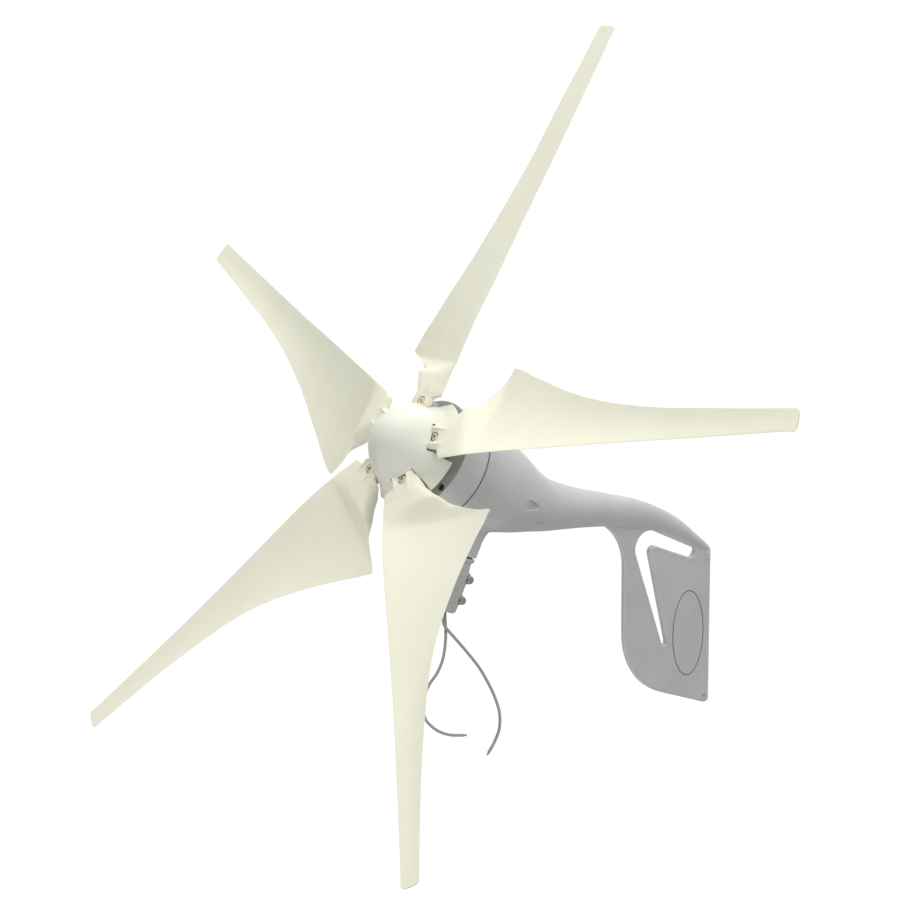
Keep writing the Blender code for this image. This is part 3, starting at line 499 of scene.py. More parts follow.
IVORY = ivory_look().material
PEARL = pearl_look().material
CAST = cast_look("grey_powder_coat", (0.530, 0.529, 0.527)).material
ZINC = zinc_look("zinc_plated_steel", (0.52, 0.50, 0.47)).material
SCREW = zinc_look("passivated_screw_steel", (0.86, 0.78, 0.60), 0.24).material
# A darker grey for the front cover's face and chamfer: painted shade, standing in for their shadow.
COVER_SHADE = cast_look("cover_face_painted_shade", (0.300, 0.312, 0.302)).material
CLAMP = cast_look("bare_cast_clamp", (0.470, 0.455, 0.455)).material
# Dark steel for the root washers and the cover screws; on the cover screws the darkness is painted
# shade for their shadowed wells.
DARK_STEEL_AND_SHADE = zinc_look("dark_steel_and_painted_shade", (0.16, 0.15, 0.14), 0.34).material
RUBBER = plain_look("black_rubber", (0.030, 0.030, 0.031), 0.62, grain=900.0, vary=0.25).material
BEARING = plain_look("ground_bearing_steel", (0.56, 0.57, 0.58), 0.18, 1.0, 1500.0, 0.00004).material
LAMINATION = layered_look("laminated_steel", (0.28, 0.29, 0.31), "Y", 320.0).material
COPPER = layered_look("enamelled_copper", (0.62, 0.27, 0.12), "DIAGONAL", 260.0, 0.30).material
MAGNET = plain_look("nickel_plate", (0.58, 0.57, 0.54), 0.16, 1.0, 700.0, 0.00004).material
BRASS = plain_look("turned_brass", (0.72, 0.52, 0.24), 0.24, 1.0, 900.0, 0.00005).material
CARBON = plain_look("pressed_carbon", (0.045, 0.045, 0.048), 0.55, 0.2, 1200.0).material
NYLON = plain_look("black_nylon", (0.035, 0.035, 0.038), 0.45, 0.0, 700.0).material
WIRE = plain_look("grey_lead_insulation", (0.330, 0.335, 0.335), 0.46, 0.0, 800.0, 0.0001).material
STRANDS = layered_look("tinned_copper_strands", (0.66, 0.50, 0.36), "DIAGONAL", 900.0, 0.28).material
LINE = plain_look("dark_line_paint", (0.060, 0.062, 0.064), 0.5, 0.0, 900.0, 0.00005).material

BY_SLOT = {
    "ivory": IVORY, "pearl": PEARL, "cast": CAST, "rubber": RUBBER, "zinc": ZINC,
    "bearing": BEARING, "lamination": LAMINATION, "copper": COPPER, "magnet": MAGNET,
    "ring_brass": BRASS, "carbon": CARBON, "nylon": NYLON, "wire": WIRE,
}
for row in frame["record"]["subparts"]:
    node = frame["nodes"][row["node"]]
    if not node.material_slots:
        node.data.materials.append(None)
    for holder in node.material_slots:
        holder.material = BY_SLOT[row["material_slot"]]


# ---------------------------------------------------------------- the two loose leads
LEAD_D = 0.0040
LEAD_STEP = 0.0015
STRAND_R = 0.00045
STRAND_RING_R = 0.00085


def sideways(across, depth, z):
    """A place beside the yaw axis: across towards +X+Y, depth towards the nose on the right."""
    return (0.645 * across + 0.764 * depth, 0.764 * across - 0.645 * depth, z)


LEADS = [
    [
        sideways(0.0020, -0.0010, 0.0500), sideways(0.0040, -0.0010, 0.0420),
        sideways(0.0095, -0.0010, 0.0280), sideways(0.0155, -0.0008, 0.0120),
        sideways(0.0200, -0.0004, -0.0020), sideways(0.0262, 0.0000, -0.0164),
        sideways(0.0320, 0.0010, -0.0310), sideways(0.0370, 0.0020, -0.0490),
        sideways(0.0390, 0.0030, -0.0640), sideways(0.0380, 0.0050, -0.0800),
        sideways(0.0340, 0.0070, -0.0950), sideways(0.0330, 0.0080, -0.1120),
        sideways(0.0370, 0.0080, -0.1280), sideways(0.0450, 0.0070, -0.1400),
        sideways(0.0560, 0.0060, -0.1460), sideways(0.0680, 0.0040, -0.1490),
        sideways(0.0830, 0.0020, -0.1480), sideways(0.0988, 0.0000, -0.1425),
    ],
    [
        sideways(0.0000, 0.0022, 0.0500), sideways(0.0030, 0.0042, 0.0410),
        sideways(0.0090, 0.0050, 0.0260), sideways(0.0150, 0.0054, 0.0100),
        sideways(0.0195, 0.0056, -0.0060), sideways(0.0245, 0.0058, -0.0170),
        sideways(0.0330, 0.0056, -0.0230), sideways(0.0450, 0.0050, -0.0295),
        sideways(0.0640, 0.0040, -0.0400), sideways(0.0860, 0.0030, -0.0535),
        sideways(0.1060, 0.0020, -0.0700), sideways(0.1215, 0.0010, -0.0860),
        sideways(0.1320, 0.0000, -0.1010), sideways(0.1380, 0.0000, -0.1180),
        sideways(0.1385, 0.0000, -0.1350), sideways(0.1360, 0.0000, -0.1530),
    ],
]
LEAD_LENGTHS = (0.258, 0.264)


def through(knots):
    """Points along one smooth curve through the knots."""
    knots = [Vector(p) for p in knots]
    points = []
    for k in range(len(knots) - 1):
        before, a, b = knots[max(k - 1, 0)], knots[k], knots[k + 1]
        after = knots[min(k + 2, len(knots) - 1)]
        count = max(1, round((b - a).length / LEAD_STEP))
        for i in range(count):
            t = i / count
            points.append(0.5 * (
                2 * a + (b - before) * t + (2 * before - 5 * a + 4 * b - after) * t**2
                + (3 * a - before - 3 * b + after) * t**3
            ))
    return points + [knots[-1]]


for number, (route, length) in enumerate(zip(LEADS, LEAD_LENGTHS), 1):
    points = through(route)
    curve = bpy.data.curves.new(f"lead_{number}", "CURVE")
    curve.dimensions = "3D"
    curve.bevel_depth = LEAD_D / 2
    curve.bevel_resolution = 5
    curve.use_fill_caps = True
    spline = curve.splines.new("POLY")
    spline.points.add(len(points) - 1)
    for point, place in zip(spline.points, points):
        point.co = (*place, 1.0)
    curve.materials.append(WIRE)
    lead = bpy.data.objects.new(f"lead_{number}", curve)
    scene.collection.objects.link(lead)
    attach(lead, "pole_mount")
    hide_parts(f"lead_wire_{number}")
    # Bared strands at the end: six round one.
    end, heading = points[-1], (points[-1] - points[-3]).normalized()
    strands = []
    side = heading.orthogonal().normalized()
    for k in range(7):
        a = 2 * pi * k / 6
        off = (side * cos(a) + heading.cross(side) * sin(a)) * (STRAND_RING_R if k < 6 else 0.0)
        first, last = end + off - heading * 0.001, end + off * 1.1 + heading * 0.0035
        strands.append(rod(STRAND_R, first, last, 10))
    core = piece(f"lead_{number}_strands", smooth(merged(strands), 35), STRANDS, "pole_mount")

# ---------------------------------------------------------------- blades
# Sections: distance from the axis, leading edge (across, back), trailing edge (across, back),
# thickness and bow of the middle line.
BLADE = [
    (0.0340, 0.0150, -0.0214, -0.0155, -0.0214, 0.0090, 0.0000),
    (0.0540, 0.0160, -0.0215, -0.0166, -0.0211, 0.0088, 0.0000),
    (0.0580, 0.0163, -0.0216, -0.0178, -0.0172, 0.0080, 0.0000),
    (0.0620, 0.0166, -0.0217, -0.0184, -0.0098, 0.0074, 0.0000),
    (0.0655, 0.0180, -0.0219, -0.0188, -0.0048, 0.0070, 0.0000),
    (0.0678, 0.0240, -0.0223, -0.0194, -0.0032, 0.0067, 0.0000),
    (0.0700, 0.0296, -0.0228, -0.0204, -0.0014, 0.0066, 0.0000),
    (0.0725, 0.0307, -0.0233, -0.0222, 0.0002, 0.0066, 0.0000),
    (0.0780, 0.0308, -0.0238, -0.0272, 0.0024, 0.0064, 0.0000),
    (0.0880, 0.0310, -0.0246, -0.0345, 0.0052, 0.0062, 0.0005),
    (0.0980, 0.0311, -0.0252, -0.0470, 0.0074, 0.0060, 0.0015),
    (0.1080, 0.0312, -0.0257, -0.0625, 0.0064, 0.0060, 0.0035),
    (0.1150, 0.0312, -0.0260, -0.0752, 0.0110, 0.0059, 0.0060),
    (0.1205, 0.0312, -0.0262, -0.0890, 0.0155, 0.0058, 0.0085),
    (0.1255, 0.0312, -0.0264, -0.1045, 0.0168, 0.0057, 0.0105),
    (0.1340, 0.0311, -0.0266, -0.1030, 0.0145, 0.0056, 0.0110),
    (0.1450, 0.0310, -0.0267, -0.0992, 0.0125, 0.0056, 0.0108),
    (0.1550, 0.0308, -0.0268, -0.0942, 0.0100, 0.0055, 0.0105),
    (0.1800, 0.0302, -0.0262, -0.0822, 0.0055, 0.0053, 0.0092),
    (0.2100, 0.0296, -0.0240, -0.0690, 0.0003, 0.0050, 0.0078),
    (0.2400, 0.0288, -0.0220, -0.0564, -0.0031, 0.0048, 0.0066),
    (0.2800, 0.0276, -0.0197, -0.0424, -0.0074, 0.0046, 0.0056),
    (0.3300, 0.0260, -0.0168, -0.0298, -0.0098, 0.0043, 0.0046),
    (0.4000, 0.0249, -0.0130, -0.0194, -0.0097, 0.0040, 0.0036),
    (0.4700, 0.0240, -0.0100, -0.0136, -0.0098, 0.0036, 0.0026),
    (0.5400, 0.0231, -0.0075, -0.0088, -0.0080, 0.0032, 0.0018),
    (0.5880, 0.0227, -0.0062, -0.0063, -0.0066, 0.0029, 0.0012),
    (TIP_RADIUS, 0.0238, -0.0058, -0.0056, -0.0062, 0.0026, 0.0010),
]
# The corner that the trailing side folds back along near the root: radius, across, back.
FOLD = [
    (0.0340, -0.0080, -0.0214), (0.0540, -0.0120, -0.0214), (0.0580, -0.0175, -0.0222),
    (0.0620, -0.0218, -0.0228), (0.0655, -0.0238, -0.0231), (0.0700, -0.0262, -0.0231),
    (0.0780, -0.0335, -0.0222), (0.0880, -0.0436, -0.0192), (0.0980, -0.0550, -0.0140),
    (0.1080, -0.0680, -0.0030), (0.1150, -0.0770, 0.0080), (0.1205, -0.0890, 0.0140),
]
# How far each blade's tip lies from its even place, across and back.
BLADE_BENDS = [
    (-0.0094, -0.0114), (0.0160, 0.0090), (0.0012, -0.0010), (-0.0037, 0.0041), (-0.0044, -0.0008),
]
BEND_START = 0.120
SCREW_RADII = (0.0565, 0.0410)
ACROSS = 60  # points across each face of a section
# Places from the leading edge, 0, to the trailing edge, 1, closer together at both ends.
CHORD_STEPS = [
    0.5 - 0.5 * cos(pi * (0.04 + 0.96 * k / ACROSS if k else 0.0)) for k in range(ACROSS + 1)
]
# Spacing of the sections out to each distance, closest round the root's screws and shoulder.
SECTION_STEPS = (
    (0.050, 0.002), (0.0575, 0.0007), (0.0645, 0.0012), (0.0730, 0.0008), (0.100, 0.0014),
    (0.150, 0.0022), (TIP_RADIUS - 0.008, 0.0085),
)
TIP_STEPS = (0.006, 0.0042, 0.0028, 0.0017, 0.0008, 0.0002, 0.0)
# Root ridges: middle, slope, width and height.
RIDGES = ((-0.0110, 0.11, 0.0016, 0.0041), (0.0119, -0.02, 0.0016, 0.0041))


def bell(offset, width):
    """1 in the middle, falling away smoothly on both sides."""
    return pow(2.718, -((offset / width) ** 2))


def folded(radius):
    """How much of the root's fold a section has."""
    return 1 - fade(radius, 0.094, 0.116)


def camber(radius, t):
    """A point on a section's middle line: 0 at the leading edge, 1 at the trailing edge."""
    xl, yl, xt, yt, _, bow = spread(BLADE, radius)
    lead, trail = Vector((xl, yl)), Vector((xt, yt))
    along = (trail - lead).normalized()
    point = lead.lerp(trail, t) + Vector((along.y, -along.x)) * bow * 4 * t * (1 - t)
    share = folded(radius)
    if share > 0:
        a, b, c = (1 - t) ** 2, 6.0 * t * (1 - t), t * t
        bent = (lead * a + Vector(spread(FOLD, radius)) * b + trail * c) / (a + b + c)
        point = point.lerp(bent, share)
    return point


def root_relief(x, radius):
    """Height of the moulded ridges that flank the screw and run out onto the blade's face."""
    start = fade(radius, 0.0505, 0.0530)
    reach = 1 - fade(radius, 0.054, 0.081)
    height = 0.0
    for middle, slope, width, rise in RIDGES:
        centre = middle + slope * (radius - 0.054)
        height += rise * reach * start * bell(x - centre, width)
    valley = start * (1 - fade(radius, 0.060, 0.084))
    return height - 0.0010 * valley * bell(x, 0.0062)


def blade_ring(radius):
    """Points round one section: its back from the leading edge, then its face."""
    thick = spread(BLADE, radius)[4]
    flat = min(1.0, max(0.0, (0.085 - radius) / 0.02))
    tip = max(0.0, (radius - (TIP_RADIUS - 0.006)) / 0.006)
    line = [camber(radius, t) for t in CHORD_STEPS]
    gone = [0.0]
    for a, b in zip(line, line[1:]):
        gone.append(gone[-1] + (b - a).length)
    faces = {1: [], -1: []}
    for k, (t, middle, far) in enumerate(zip(CHORD_STEPS, line, gone)):
        run = line[min(k + 1, ACROSS)] - line[max(k - 1, 0)]
        across = Vector((run.y, -run.x)).normalized()
        near = min(far, gone[-1] - far)
        corner = 0.0022 * flat + 0.0011 * (1 - flat)
        rounded = sqrt(max(0.0, 1 - (1 - min(1.0, near / corner)) ** 2))
        foil = min(1.0, 1.364 * sqrt(t) * (1 - t) ** 0.8 + 0.10)
        half = thick / 2 * min(1.0, flat + (1 - flat) * foil) * rounded
        half *= 1 - 0.45 * fade(t, 0.15, 0.60) * fade(radius, 0.056, 0.062) * folded(radius)
        drop = 0.0045 * tip * tip * (1 - min(1.0, near / 0.006)) ** 2
        for face in (1, -1):
            point = middle + across * half * face
            rise = root_relief(point.x, radius) * min(1.0, near / 0.004) if face < 0 else 0.0
            faces[face].append(Vector((point.x, point.y - rise, radius - drop)))
    return faces[1] + faces[-1][-2:0:-1]


def blade_radii():
    """Where the sections are, from the root to the rounded tip."""
    found, radius = [], BLADE[0][0]
    for limit, step in SECTION_STEPS:
        while radius < limit:
            found.append(radius)
            radius += step
    return found + [TIP_RADIUS - back for back in TIP_STEPS]


def blade_blank():
    """A straight blade with its two screw wells."""
    wells = []
    for r in SCREW_RADII:
        wells.append(rod(0.0065, (0, -0.036, r), (0, -0.0206, r), 40))
        wells.append(rod(0.0033, (0, -0.022, r), (0, -0.012, r), 24))
    return join_cut(grid_mesh("blade", [blade_ring(r) for r in blade_radii()]), cuts=wells)


def blade_mesh(blank, bends, place):
    """The blank bent outward of its root, put in its place on the hub."""
    mesh = blank.copy()
    for vertex in mesh.vertices:
        reach = max(0.0, vertex.co.z - BEND_START) / (TIP_RADIUS - BEND_START)
        vertex.co.x += bends[0] * reach
        vertex.co.y += bends[1] * reach
    mesh.transform(place)
    return smooth(mesh, 48)


def cap_screw(head_r, head_top, seat, shank_r, tip, socket_r, socket_depth, place):
    """A socket-head screw along Y: its head from head_top back to seat, its shank on to tip."""
    chamfer = head_r * 0.09
    head = lathe("screw", [
        (0.0, head_top), (head_r - chamfer * 1.6, head_top),
        (head_r - chamfer * 0.5, head_top + chamfer * 0.5), (head_r, head_top + chamfer * 1.5),
        (head_r, seat - chamfer * 0.5), (head_r - chamfer * 0.5, seat),
        (shank_r, seat), (shank_r, tip - 0.0006), (shank_r - 0.0006, tip), (0.0, tip),
    ], 48)
    socket = rod(socket_r, (0, head_top - 0.002, 0), (0, head_top + socket_depth, 0), 6)
    lead_in = lathe("lead_in", [
        (0.0, head_top - 0.001), (socket_r * 1.22, head_top - 0.001),
        (socket_r * 0.80, head_top + 0.0007), (0.0, head_top + 0.0007),
    ], 32)
    mesh = join_cut(head, cuts=[socket, lead_in])
    mesh.transform(place)
    return smooth(mesh, 30)


BLANK = blade_blank()
for number, (blade_turn, bends) in enumerate(zip(BLADE_TURNS, BLADE_BENDS), 1):
    spin = AXLE @ blade_turn
    blade = blade_mesh(BLANK, bends, spin)
    piece(f"moulded_blade_{number}", blade, IVORY, "rotor", [f"blade_{number}"])
    for where, r in zip(("outer", "inner"), SCREW_RADII):
        spot = spin @ Matrix.Translation((0, 0, r))
        screw = cap_screw(0.0053, -0.0252, -0.0208, 0.0030, -0.0088, 0.0029, 0.0030, spot)
        piece(
            f"root_screw_{where}_{number}", screw, SCREW, "rotor",
            [f"blade_screw_{where}_{number}"],
        )
        washer = lathe("washer", [
            (0.0031, -0.0222), (0.0061, -0.0222), (0.0063, -0.0219), (0.0063, -0.0208),
            (0.0031, -0.0208),
        ], 48, spot)
        piece(f"root_washer_{where}_{number}", smooth(washer, 30), DARK_STEEL_AND_SHADE, "rotor")


# ---------------------------------------------------------------- nose cone
def dome(radius, offset=0.0):
    """How far back the nose's outside is at a distance from the axis."""
    return 0.0020 - 0.0686 * (1 - (radius / 0.0688) ** 2) + offset


HUB_FACE = -0.0165
POST_RING_R = 0.0270
# The notch round each root, across and out from the axis.
NOTCH = [
    (-0.0178, 0.0440), (-0.0184, 0.0545), (-0.0214, 0.0620), (-0.0226, 0.0680), (-0.0245, 0.0900),
    (0.0275, 0.0900), (0.0242, 0.0680), (0.0226, 0.0640), (0.0184, 0.0545), (0.0178, 0.0440),
]
outside = [(0.0025 * k, dome(0.0025 * k)) for k in range(26)] + [
    (0.0648, -0.0078), (0.0670, -0.0052), (0.0690, -0.0028), (0.0707, -0.0009), (0.0722, 0.0009),
    (0.0736, 0.0026), (0.0740, 0.0033), (0.0736, 0.0037),
]
inside = [
    (0.0722, 0.0036), (0.0716, 0.0030), (0.0680, -0.0010), (0.0638, -0.0058), (0.0606, -0.0105),
]
inside += [
    (r, dome(r + 0.0013, 0.0026))
    for r in (0.057, 0.053, 0.049, 0.045, 0.040, 0.034, 0.028, 0.022, 0.016, 0.010, 0.005)
]
inside += [(0.0, dome(0.0) + 0.0026)]
cone = lathe("nose", outside + inside, 160)
notch = filleted([(x, h, 0.0008) for x, h in NOTCH])
notches = [
    grid_mesh("notch", [[Vector((p.x, s, p.y)) for p in notch] for s in (-0.0262, 0.0100)], place=spin)
    for spin in BLADE_TURNS
]
core = [(0.001 * k, dome(0.001 * k, 0.0013)) for k in range(0, 51, 2)] + [(0.050, 0.0), (0.0, 0.0)]
posts, bores = [], []
for number in range(3):
    x, h = polar(POST_RING_R, radians(30 + 120 * number))
    post = rod(0.0042, (x, HUB_FACE - GAP, h), (x, -0.0640, h), 28)
    posts.append(common(post, lathe("core", core, 64)))
    bores.append(rod(0.0018, (x, -0.010, h), (x, -0.0300, h), 16))
cone = join_cut(cone, posts, notches + bores)
cone = bevelled(cone, 0.00035)
cone.transform(AXLE)
piece("nose_cone", smooth(cone, 50), PEARL, "rotor", ["spinner"])

# ---------------------------------------------------------------- front cover and its bolts
CASE_R = 0.0755
CASE_BOLTS = [polar(0.0700, radians(a)) for a in (-25.0, 65.0, 155.0, 245.0)]
cover = lathe("cover", [
    (0.0128, 0.0060), (0.0133, 0.0055), (0.0420, 0.0055), (0.0425, 0.0060), (0.0445, 0.0060),
    (0.0450, 0.0055), (0.0606, 0.0055), (0.0614, 0.0057), (0.0621, 0.0062),
    (0.0746, 0.0168), (0.0752, 0.0175), (CASE_R, 0.0186), (CASE_R, 0.0567), (0.0752, 0.0573),
    (0.0742, 0.0576), (0.0742, 0.0583), (0.0665, 0.0583), (0.0665, 0.0650), (0.0613, 0.0650),
    (0.0613, 0.0240), (0.0540, 0.0150), (0.0230, 0.0125), (0.0225, 0.0265), (0.0178, 0.0265),
    (0.0178, 0.0140), (0.0128, 0.0140),
], 192)
wells = []
for x, h in CASE_BOLTS:
    wells.append(rod(0.0046, (x, 0.0, h), (x, 0.0215, h), 36))
    wells.append(rod(0.0023, (x, 0.010, h), (x, 0.070, h), 20))
cover = bevelled(join_cut(cover, cuts=wells), 0.0003)
# The front face and the chamfer take a darker grey, painted shade where the nose and blades shadow
# them; the rim is painted.
shade_faces = [f.center.y < 0.0172 and f.center.xz.length < 0.0750 for f in cover.polygons]
cover.transform(AXLE)
cover = piece("cast_front_cover", smooth(cover, 40), CAST, "nacelle", ["front_cover"])
cover.data.materials.append(COVER_SHADE)
for face, in_shade in zip(cover.data.polygons, shade_faces):
    face.material_index = 1 if in_shade else 0
for number, (x, h) in enumerate(CASE_BOLTS, 1):
    spot = AXLE @ Matrix.Translation((x, 0, h))
    # The cover screws are dark as painted shade: their wells lie in shadow.
    screw = cap_screw(0.0040, 0.0152, 0.0211, 0.0020, 0.0800, 0.0021, 0.0024, spot)
    piece(f"cover_screw_{number}", screw, DARK_STEEL_AND_SHADE, "nacelle", [f"case_bolt_{number}"])

# ---------------------------------------------------------------- body, boom and tail fin
# Rings: distance behind the hub, heights of the centre, top and bottom, and half width.
BODY = [
    (0.0520, 0.000, 0.0748, -0.0748, 0.0748),
    (0.0600, 0.000, 0.0748, -0.0748, 0.0748),
    (0.0750, 0.000, 0.0750, -0.0735, 0.0748),
    (0.1000, 0.000, 0.0745, -0.0677, 0.0742),
    (0.1250, 0.001, 0.0735, -0.0576, 0.0715),
    (0.1500, 0.003, 0.0705, -0.0488, 0.0655),
    (0.1720, 0.007, 0.0660, -0.0393, 0.0585),
    (0.1950, 0.013, 0.0615, -0.0303, 0.0505),
    (0.2200, 0.020, 0.0602, -0.0185, 0.0425),
    (0.2500, 0.031, 0.0645, -0.0050, 0.0350),
    (0.2830, 0.043, 0.0722, 0.0124, 0.0285),
    (0.3150, 0.056, 0.0819, 0.0290, 0.0240),
    (0.3450, 0.067, 0.0908, 0.0435, 0.0205),
    (0.3740, 0.078, 0.0995, 0.0560, 0.0170),
    (0.4246, 0.092, 0.1084, 0.0750, 0.0125),
    (0.4710, 0.0985, 0.1105, 0.0865, 0.0095),
    (0.5100, 0.098, 0.1066, 0.0893, 0.0075),
    (0.5380, 0.098, 0.1035, 0.0922, 0.0060),
    (0.5470, 0.0975, 0.1010, 0.0945, 0.0042),
]
# Corners of the fin and of its slot: distance behind the hub, height above it, fillet.
FIN = [
    (0.5605, 0.004, 0.003), (0.6650, -0.2040, 0.007), (0.4945, -0.2110, 0.112),
    (0.3975, -0.0170, 0.080), (0.300, -0.0120, 0.0), (0.345, 0.0030, 0.0), (0.437, 0.0180, 0.0),
    (0.500, 0.0130, 0.0),
]
SLOT = [
    (0.3895, 0.0030, 0.0220), (0.5360, -0.0042, 0.0055), (0.5330, -0.0180, 0.0055),
    (0.4430, -0.0180, 0.0083), (0.5455, -0.1410, 0.0026), (0.5395, -0.1460, 0.0026),
]
FIN_HALF = 0.0040
# Hand holds on each flank: distance behind the hub, angle up the side, size and depth.
HOLDS = ((0.1670, 6.0, 1.0, 0.0040), (0.2100, -24.0, 0.45, 0.0022))
HOLD = [
    (-0.0127, -0.0108, 0.0020), (-0.0188, -0.0025, 0.0030), (-0.0082, 0.0052, 0.0040),
    (0.0125, 0.0066, 0.0040), (0.0238, 0.0036, 0.0015), (0.0180, -0.0016, 0.0020),
    (-0.0059, -0.0106, 0.0020),
]
NECK_R = 0.034
NECK_BOTTOM = 0.0758


def from_hub(corners):
    """Corners given from the hub centre, in the plane of symmetry, moved to the row frame."""
    return [(y - 0.120, z + 0.183, r) for y, z, r in corners]


def grown(points, by):
    """A closed outline moved outward by that much."""
    count = len(points)
    turn = sum(points[i - 1].x * points[i].y - points[i - 1].y * points[i].x for i in range(count))
    found = []
    for i in range(count):
        run = points[(i + 1) % count] - points[i - 1]
        found.append(points[i] + Vector((run.y, -run.x)).normalized() * (by if turn > 0 else -by))
    return found


def on_body(s, a):
    """A point of the body's skin at a distance behind the hub and an angle round it."""
    centre, top, bottom, wide = spread(BODY, s)
    reach = (top - centre) if sin(a) > 0 else (centre - bottom)
    return Vector((wide * cos(a), s, centre + reach * sin(a)))


SIDES = 96
STATIONS = [0.0520 + 0.4950 * k / 110 for k in range(111)]
skin = [[on_body(s, 2 * pi * k / SIDES) for k in range(SIDES)] for s in STATIONS]
shell = grid_mesh("shell", skin, place=AXLE)
fin = plate(filleted(from_hub(FIN)), -FIN_HALF, FIN_HALF)
fin_lip = rod(0.0047, (0, 0.4395, 0.1780), (0, 0.5390, -0.0180), 24)
fin_corner = rod(0.0062, (0, 0.4376, 0.1812), (0, 0.4424, 0.1712), 24)
slot_rim = plate(grown(filleted(from_hub(SLOT)), 0.0032), -0.0046, 0.0046)
neck = lathe("neck", [
    (0.0, NECK_BOTTOM), (NECK_R - 0.001, NECK_BOTTOM), (NECK_R, NECK_BOTTOM + 0.001),
    (NECK_R, 0.098), (0.0355, 0.108), (0.0390, 0.118), (0.040, 0.135), (0.0, 0.135),
], 96, along="Z")
slot = plate(filleted(from_hub(SLOT)), -0.03, 0.03)
holds = []
for side in (-1, 1):
    for s, angle, size, deep in HOLDS:
        a = radians(angle)
        seat = Matrix.Translation(on_body(s, a))
        seat = seat @ Matrix.Rotation(radians(18), 4, "Z") @ Matrix.Rotation(-a, 4, "Y")
        rings = [
            [seat @ Vector((level, p.x * size * share, p.y * size * share)) for p in filleted(HOLD)]
            for level, share in ((-deep, 0.70), (0.0006, 1.06), (0.0120, 1.06))
        ]
        rings = [[Vector((side * p.x, p.y, p.z)) for p in ring] for ring in rings]
        holds.append(grid_mesh("hold", rings, place=AXLE))
body = join_cut(shell, [fin, fin_lip, fin_corner, slot_rim, neck], [slot])
body = join_cut(soften(body, 0.0012, 6), cuts=holds)
cavity = lathe("cavity", [
    (0.0, 0.0560), (0.0672, 0.0560), (0.0672, 0.0658), (0.0617, 0.0658), (0.0617, 0.1030),
    (0.0163, 0.1030), (0.0163, 0.1130), (0.0105, 0.1130), (0.0105, 0.1180), (0.0, 0.1180),
], 96, AXLE)
front_cut = block((-0.12, 0.030, -0.12), (0.12, 0.0600, 0.12), AXLE)
drain = rod(0.0026, (-0.02, 0.5305, -0.0125), (0.02, 0.5305, -0.0125), 32)
yaw_bore = rod(0.0195, (0, 0, 0.070), (0, 0, 0.1450), 96)
threads = [rod(0.0023, (x, 0.050, h), (x, 0.085, h), 20, AXLE) for x, h in CASE_BOLTS]
lead_way = rod(0.0050, (0, 0.094, -0.0430), (0, 0.118, -0.0430), 24, AXLE)
seam = lathe("seam", [
    (0.0742, 0.0590), (0.0800, 0.0590), (0.0800, 0.0604), (0.0742, 0.0604),
], 128, AXLE)
body = join_cut(body, cuts=[front_cut, seam, cavity, yaw_bore, drain, lead_way] + threads)
piece("cast_body_and_fin", smooth(body, 32), CAST, "nacelle", ["nacelle_body"])

# A plain oval line on each side of the fin, with nothing in it.
OVAL_CENTRE = Vector((0.457, 0.065))
OVAL_UP = Vector((-0.0290, 0.0555))
OVAL_ALONG = Vector((0.0247, 0.0127))
# The line's section: distance outward from its middle, lift off the fin.
OVAL_SECTION = (
    (-0.0006, -0.0004), (-0.0006, 0.00010), (-0.0003, 0.00022), (0.0003, 0.00022),
    (0.0006, 0.00010), (0.0006, -0.0004),
)
for side in (-1, 1):
    rows = []
    for k in range(120):
        a = 2 * pi * k / 120
        middle = OVAL_CENTRE + OVAL_UP * cos(a) + OVAL_ALONG * sin(a)
        outward = OVAL_UP * cos(a) / OVAL_UP.length + OVAL_ALONG * sin(a) / OVAL_ALONG.length
        outward.normalize()
        rows.append([
            Vector((side * (FIN_HALF + lift), middle.x + outward.x * w, middle.y + outward.y * w))
            for w, lift in OVAL_SECTION
        ])
    shape = bmesh.new()
    close_round(shape, [[shape.verts.new(p) for p in row] for row in rows])
    oval = smooth(finished(shape, "oval"), 50)
    piece(f"fin_oval_line_{'right' if side > 0 else 'left'}", oval, LINE, "nacelle")

# ---------------------------------------------------------------- pole clamp
POLE_R = 0.02425
SOCKET_TOP = 0.0555
CLAMP_TOP = 0.074
SPLIT = 0.0004  # half the gap between the two halves
BOLT_SPOTS = [(y, z) for z in (0.0180, 0.0465) for y in (-0.0365, 0.0365)]


def half_clamp(side):
    """One half of the split clamp, before its bore and holes are cut: a half ring with ears."""
    outer, edge, ear = 0.0315, 0.0375, 0.0085
    span = pi / 2 - atan2(ear, sqrt(outer**2 - ear**2))
    arc = [polar(outer, -span + 2 * span * k / 48) for k in range(49)]
    outline = [(-0.001, -edge), (ear, -edge)] + arc + [(ear, edge), (-0.001, edge)]
    ring = plate([(side * x, y) for x, y in outline], 0.0, SOCKET_TOP, "XY")
    bosses = [rod(0.0066, (side * 0.0020, y, z), (side * 0.0105, y, z), 40) for y, z in BOLT_SPOTS]
    return ring, bosses


def clamp_cuts(side):
    """Cutters for one half: the other half's room, the pole's bore and the bolt holes."""
    if side > 0:
        room = block((-0.06, -0.06, -0.01), (SPLIT, 0.06, SOCKET_TOP + GAP))
    else:
        room = block((-SPLIT, -0.06, -0.01), (0.06, 0.06, 0.09))
    bore = rod(POLE_R, (0, 0, -0.01), (0, 0, SOCKET_TOP), 128)
    holes = [rod(0.0033, (side * -0.004, y, z), (side * 0.014, y, z), 28) for y, z in BOLT_SPOTS]
    return [room, bore] + holes


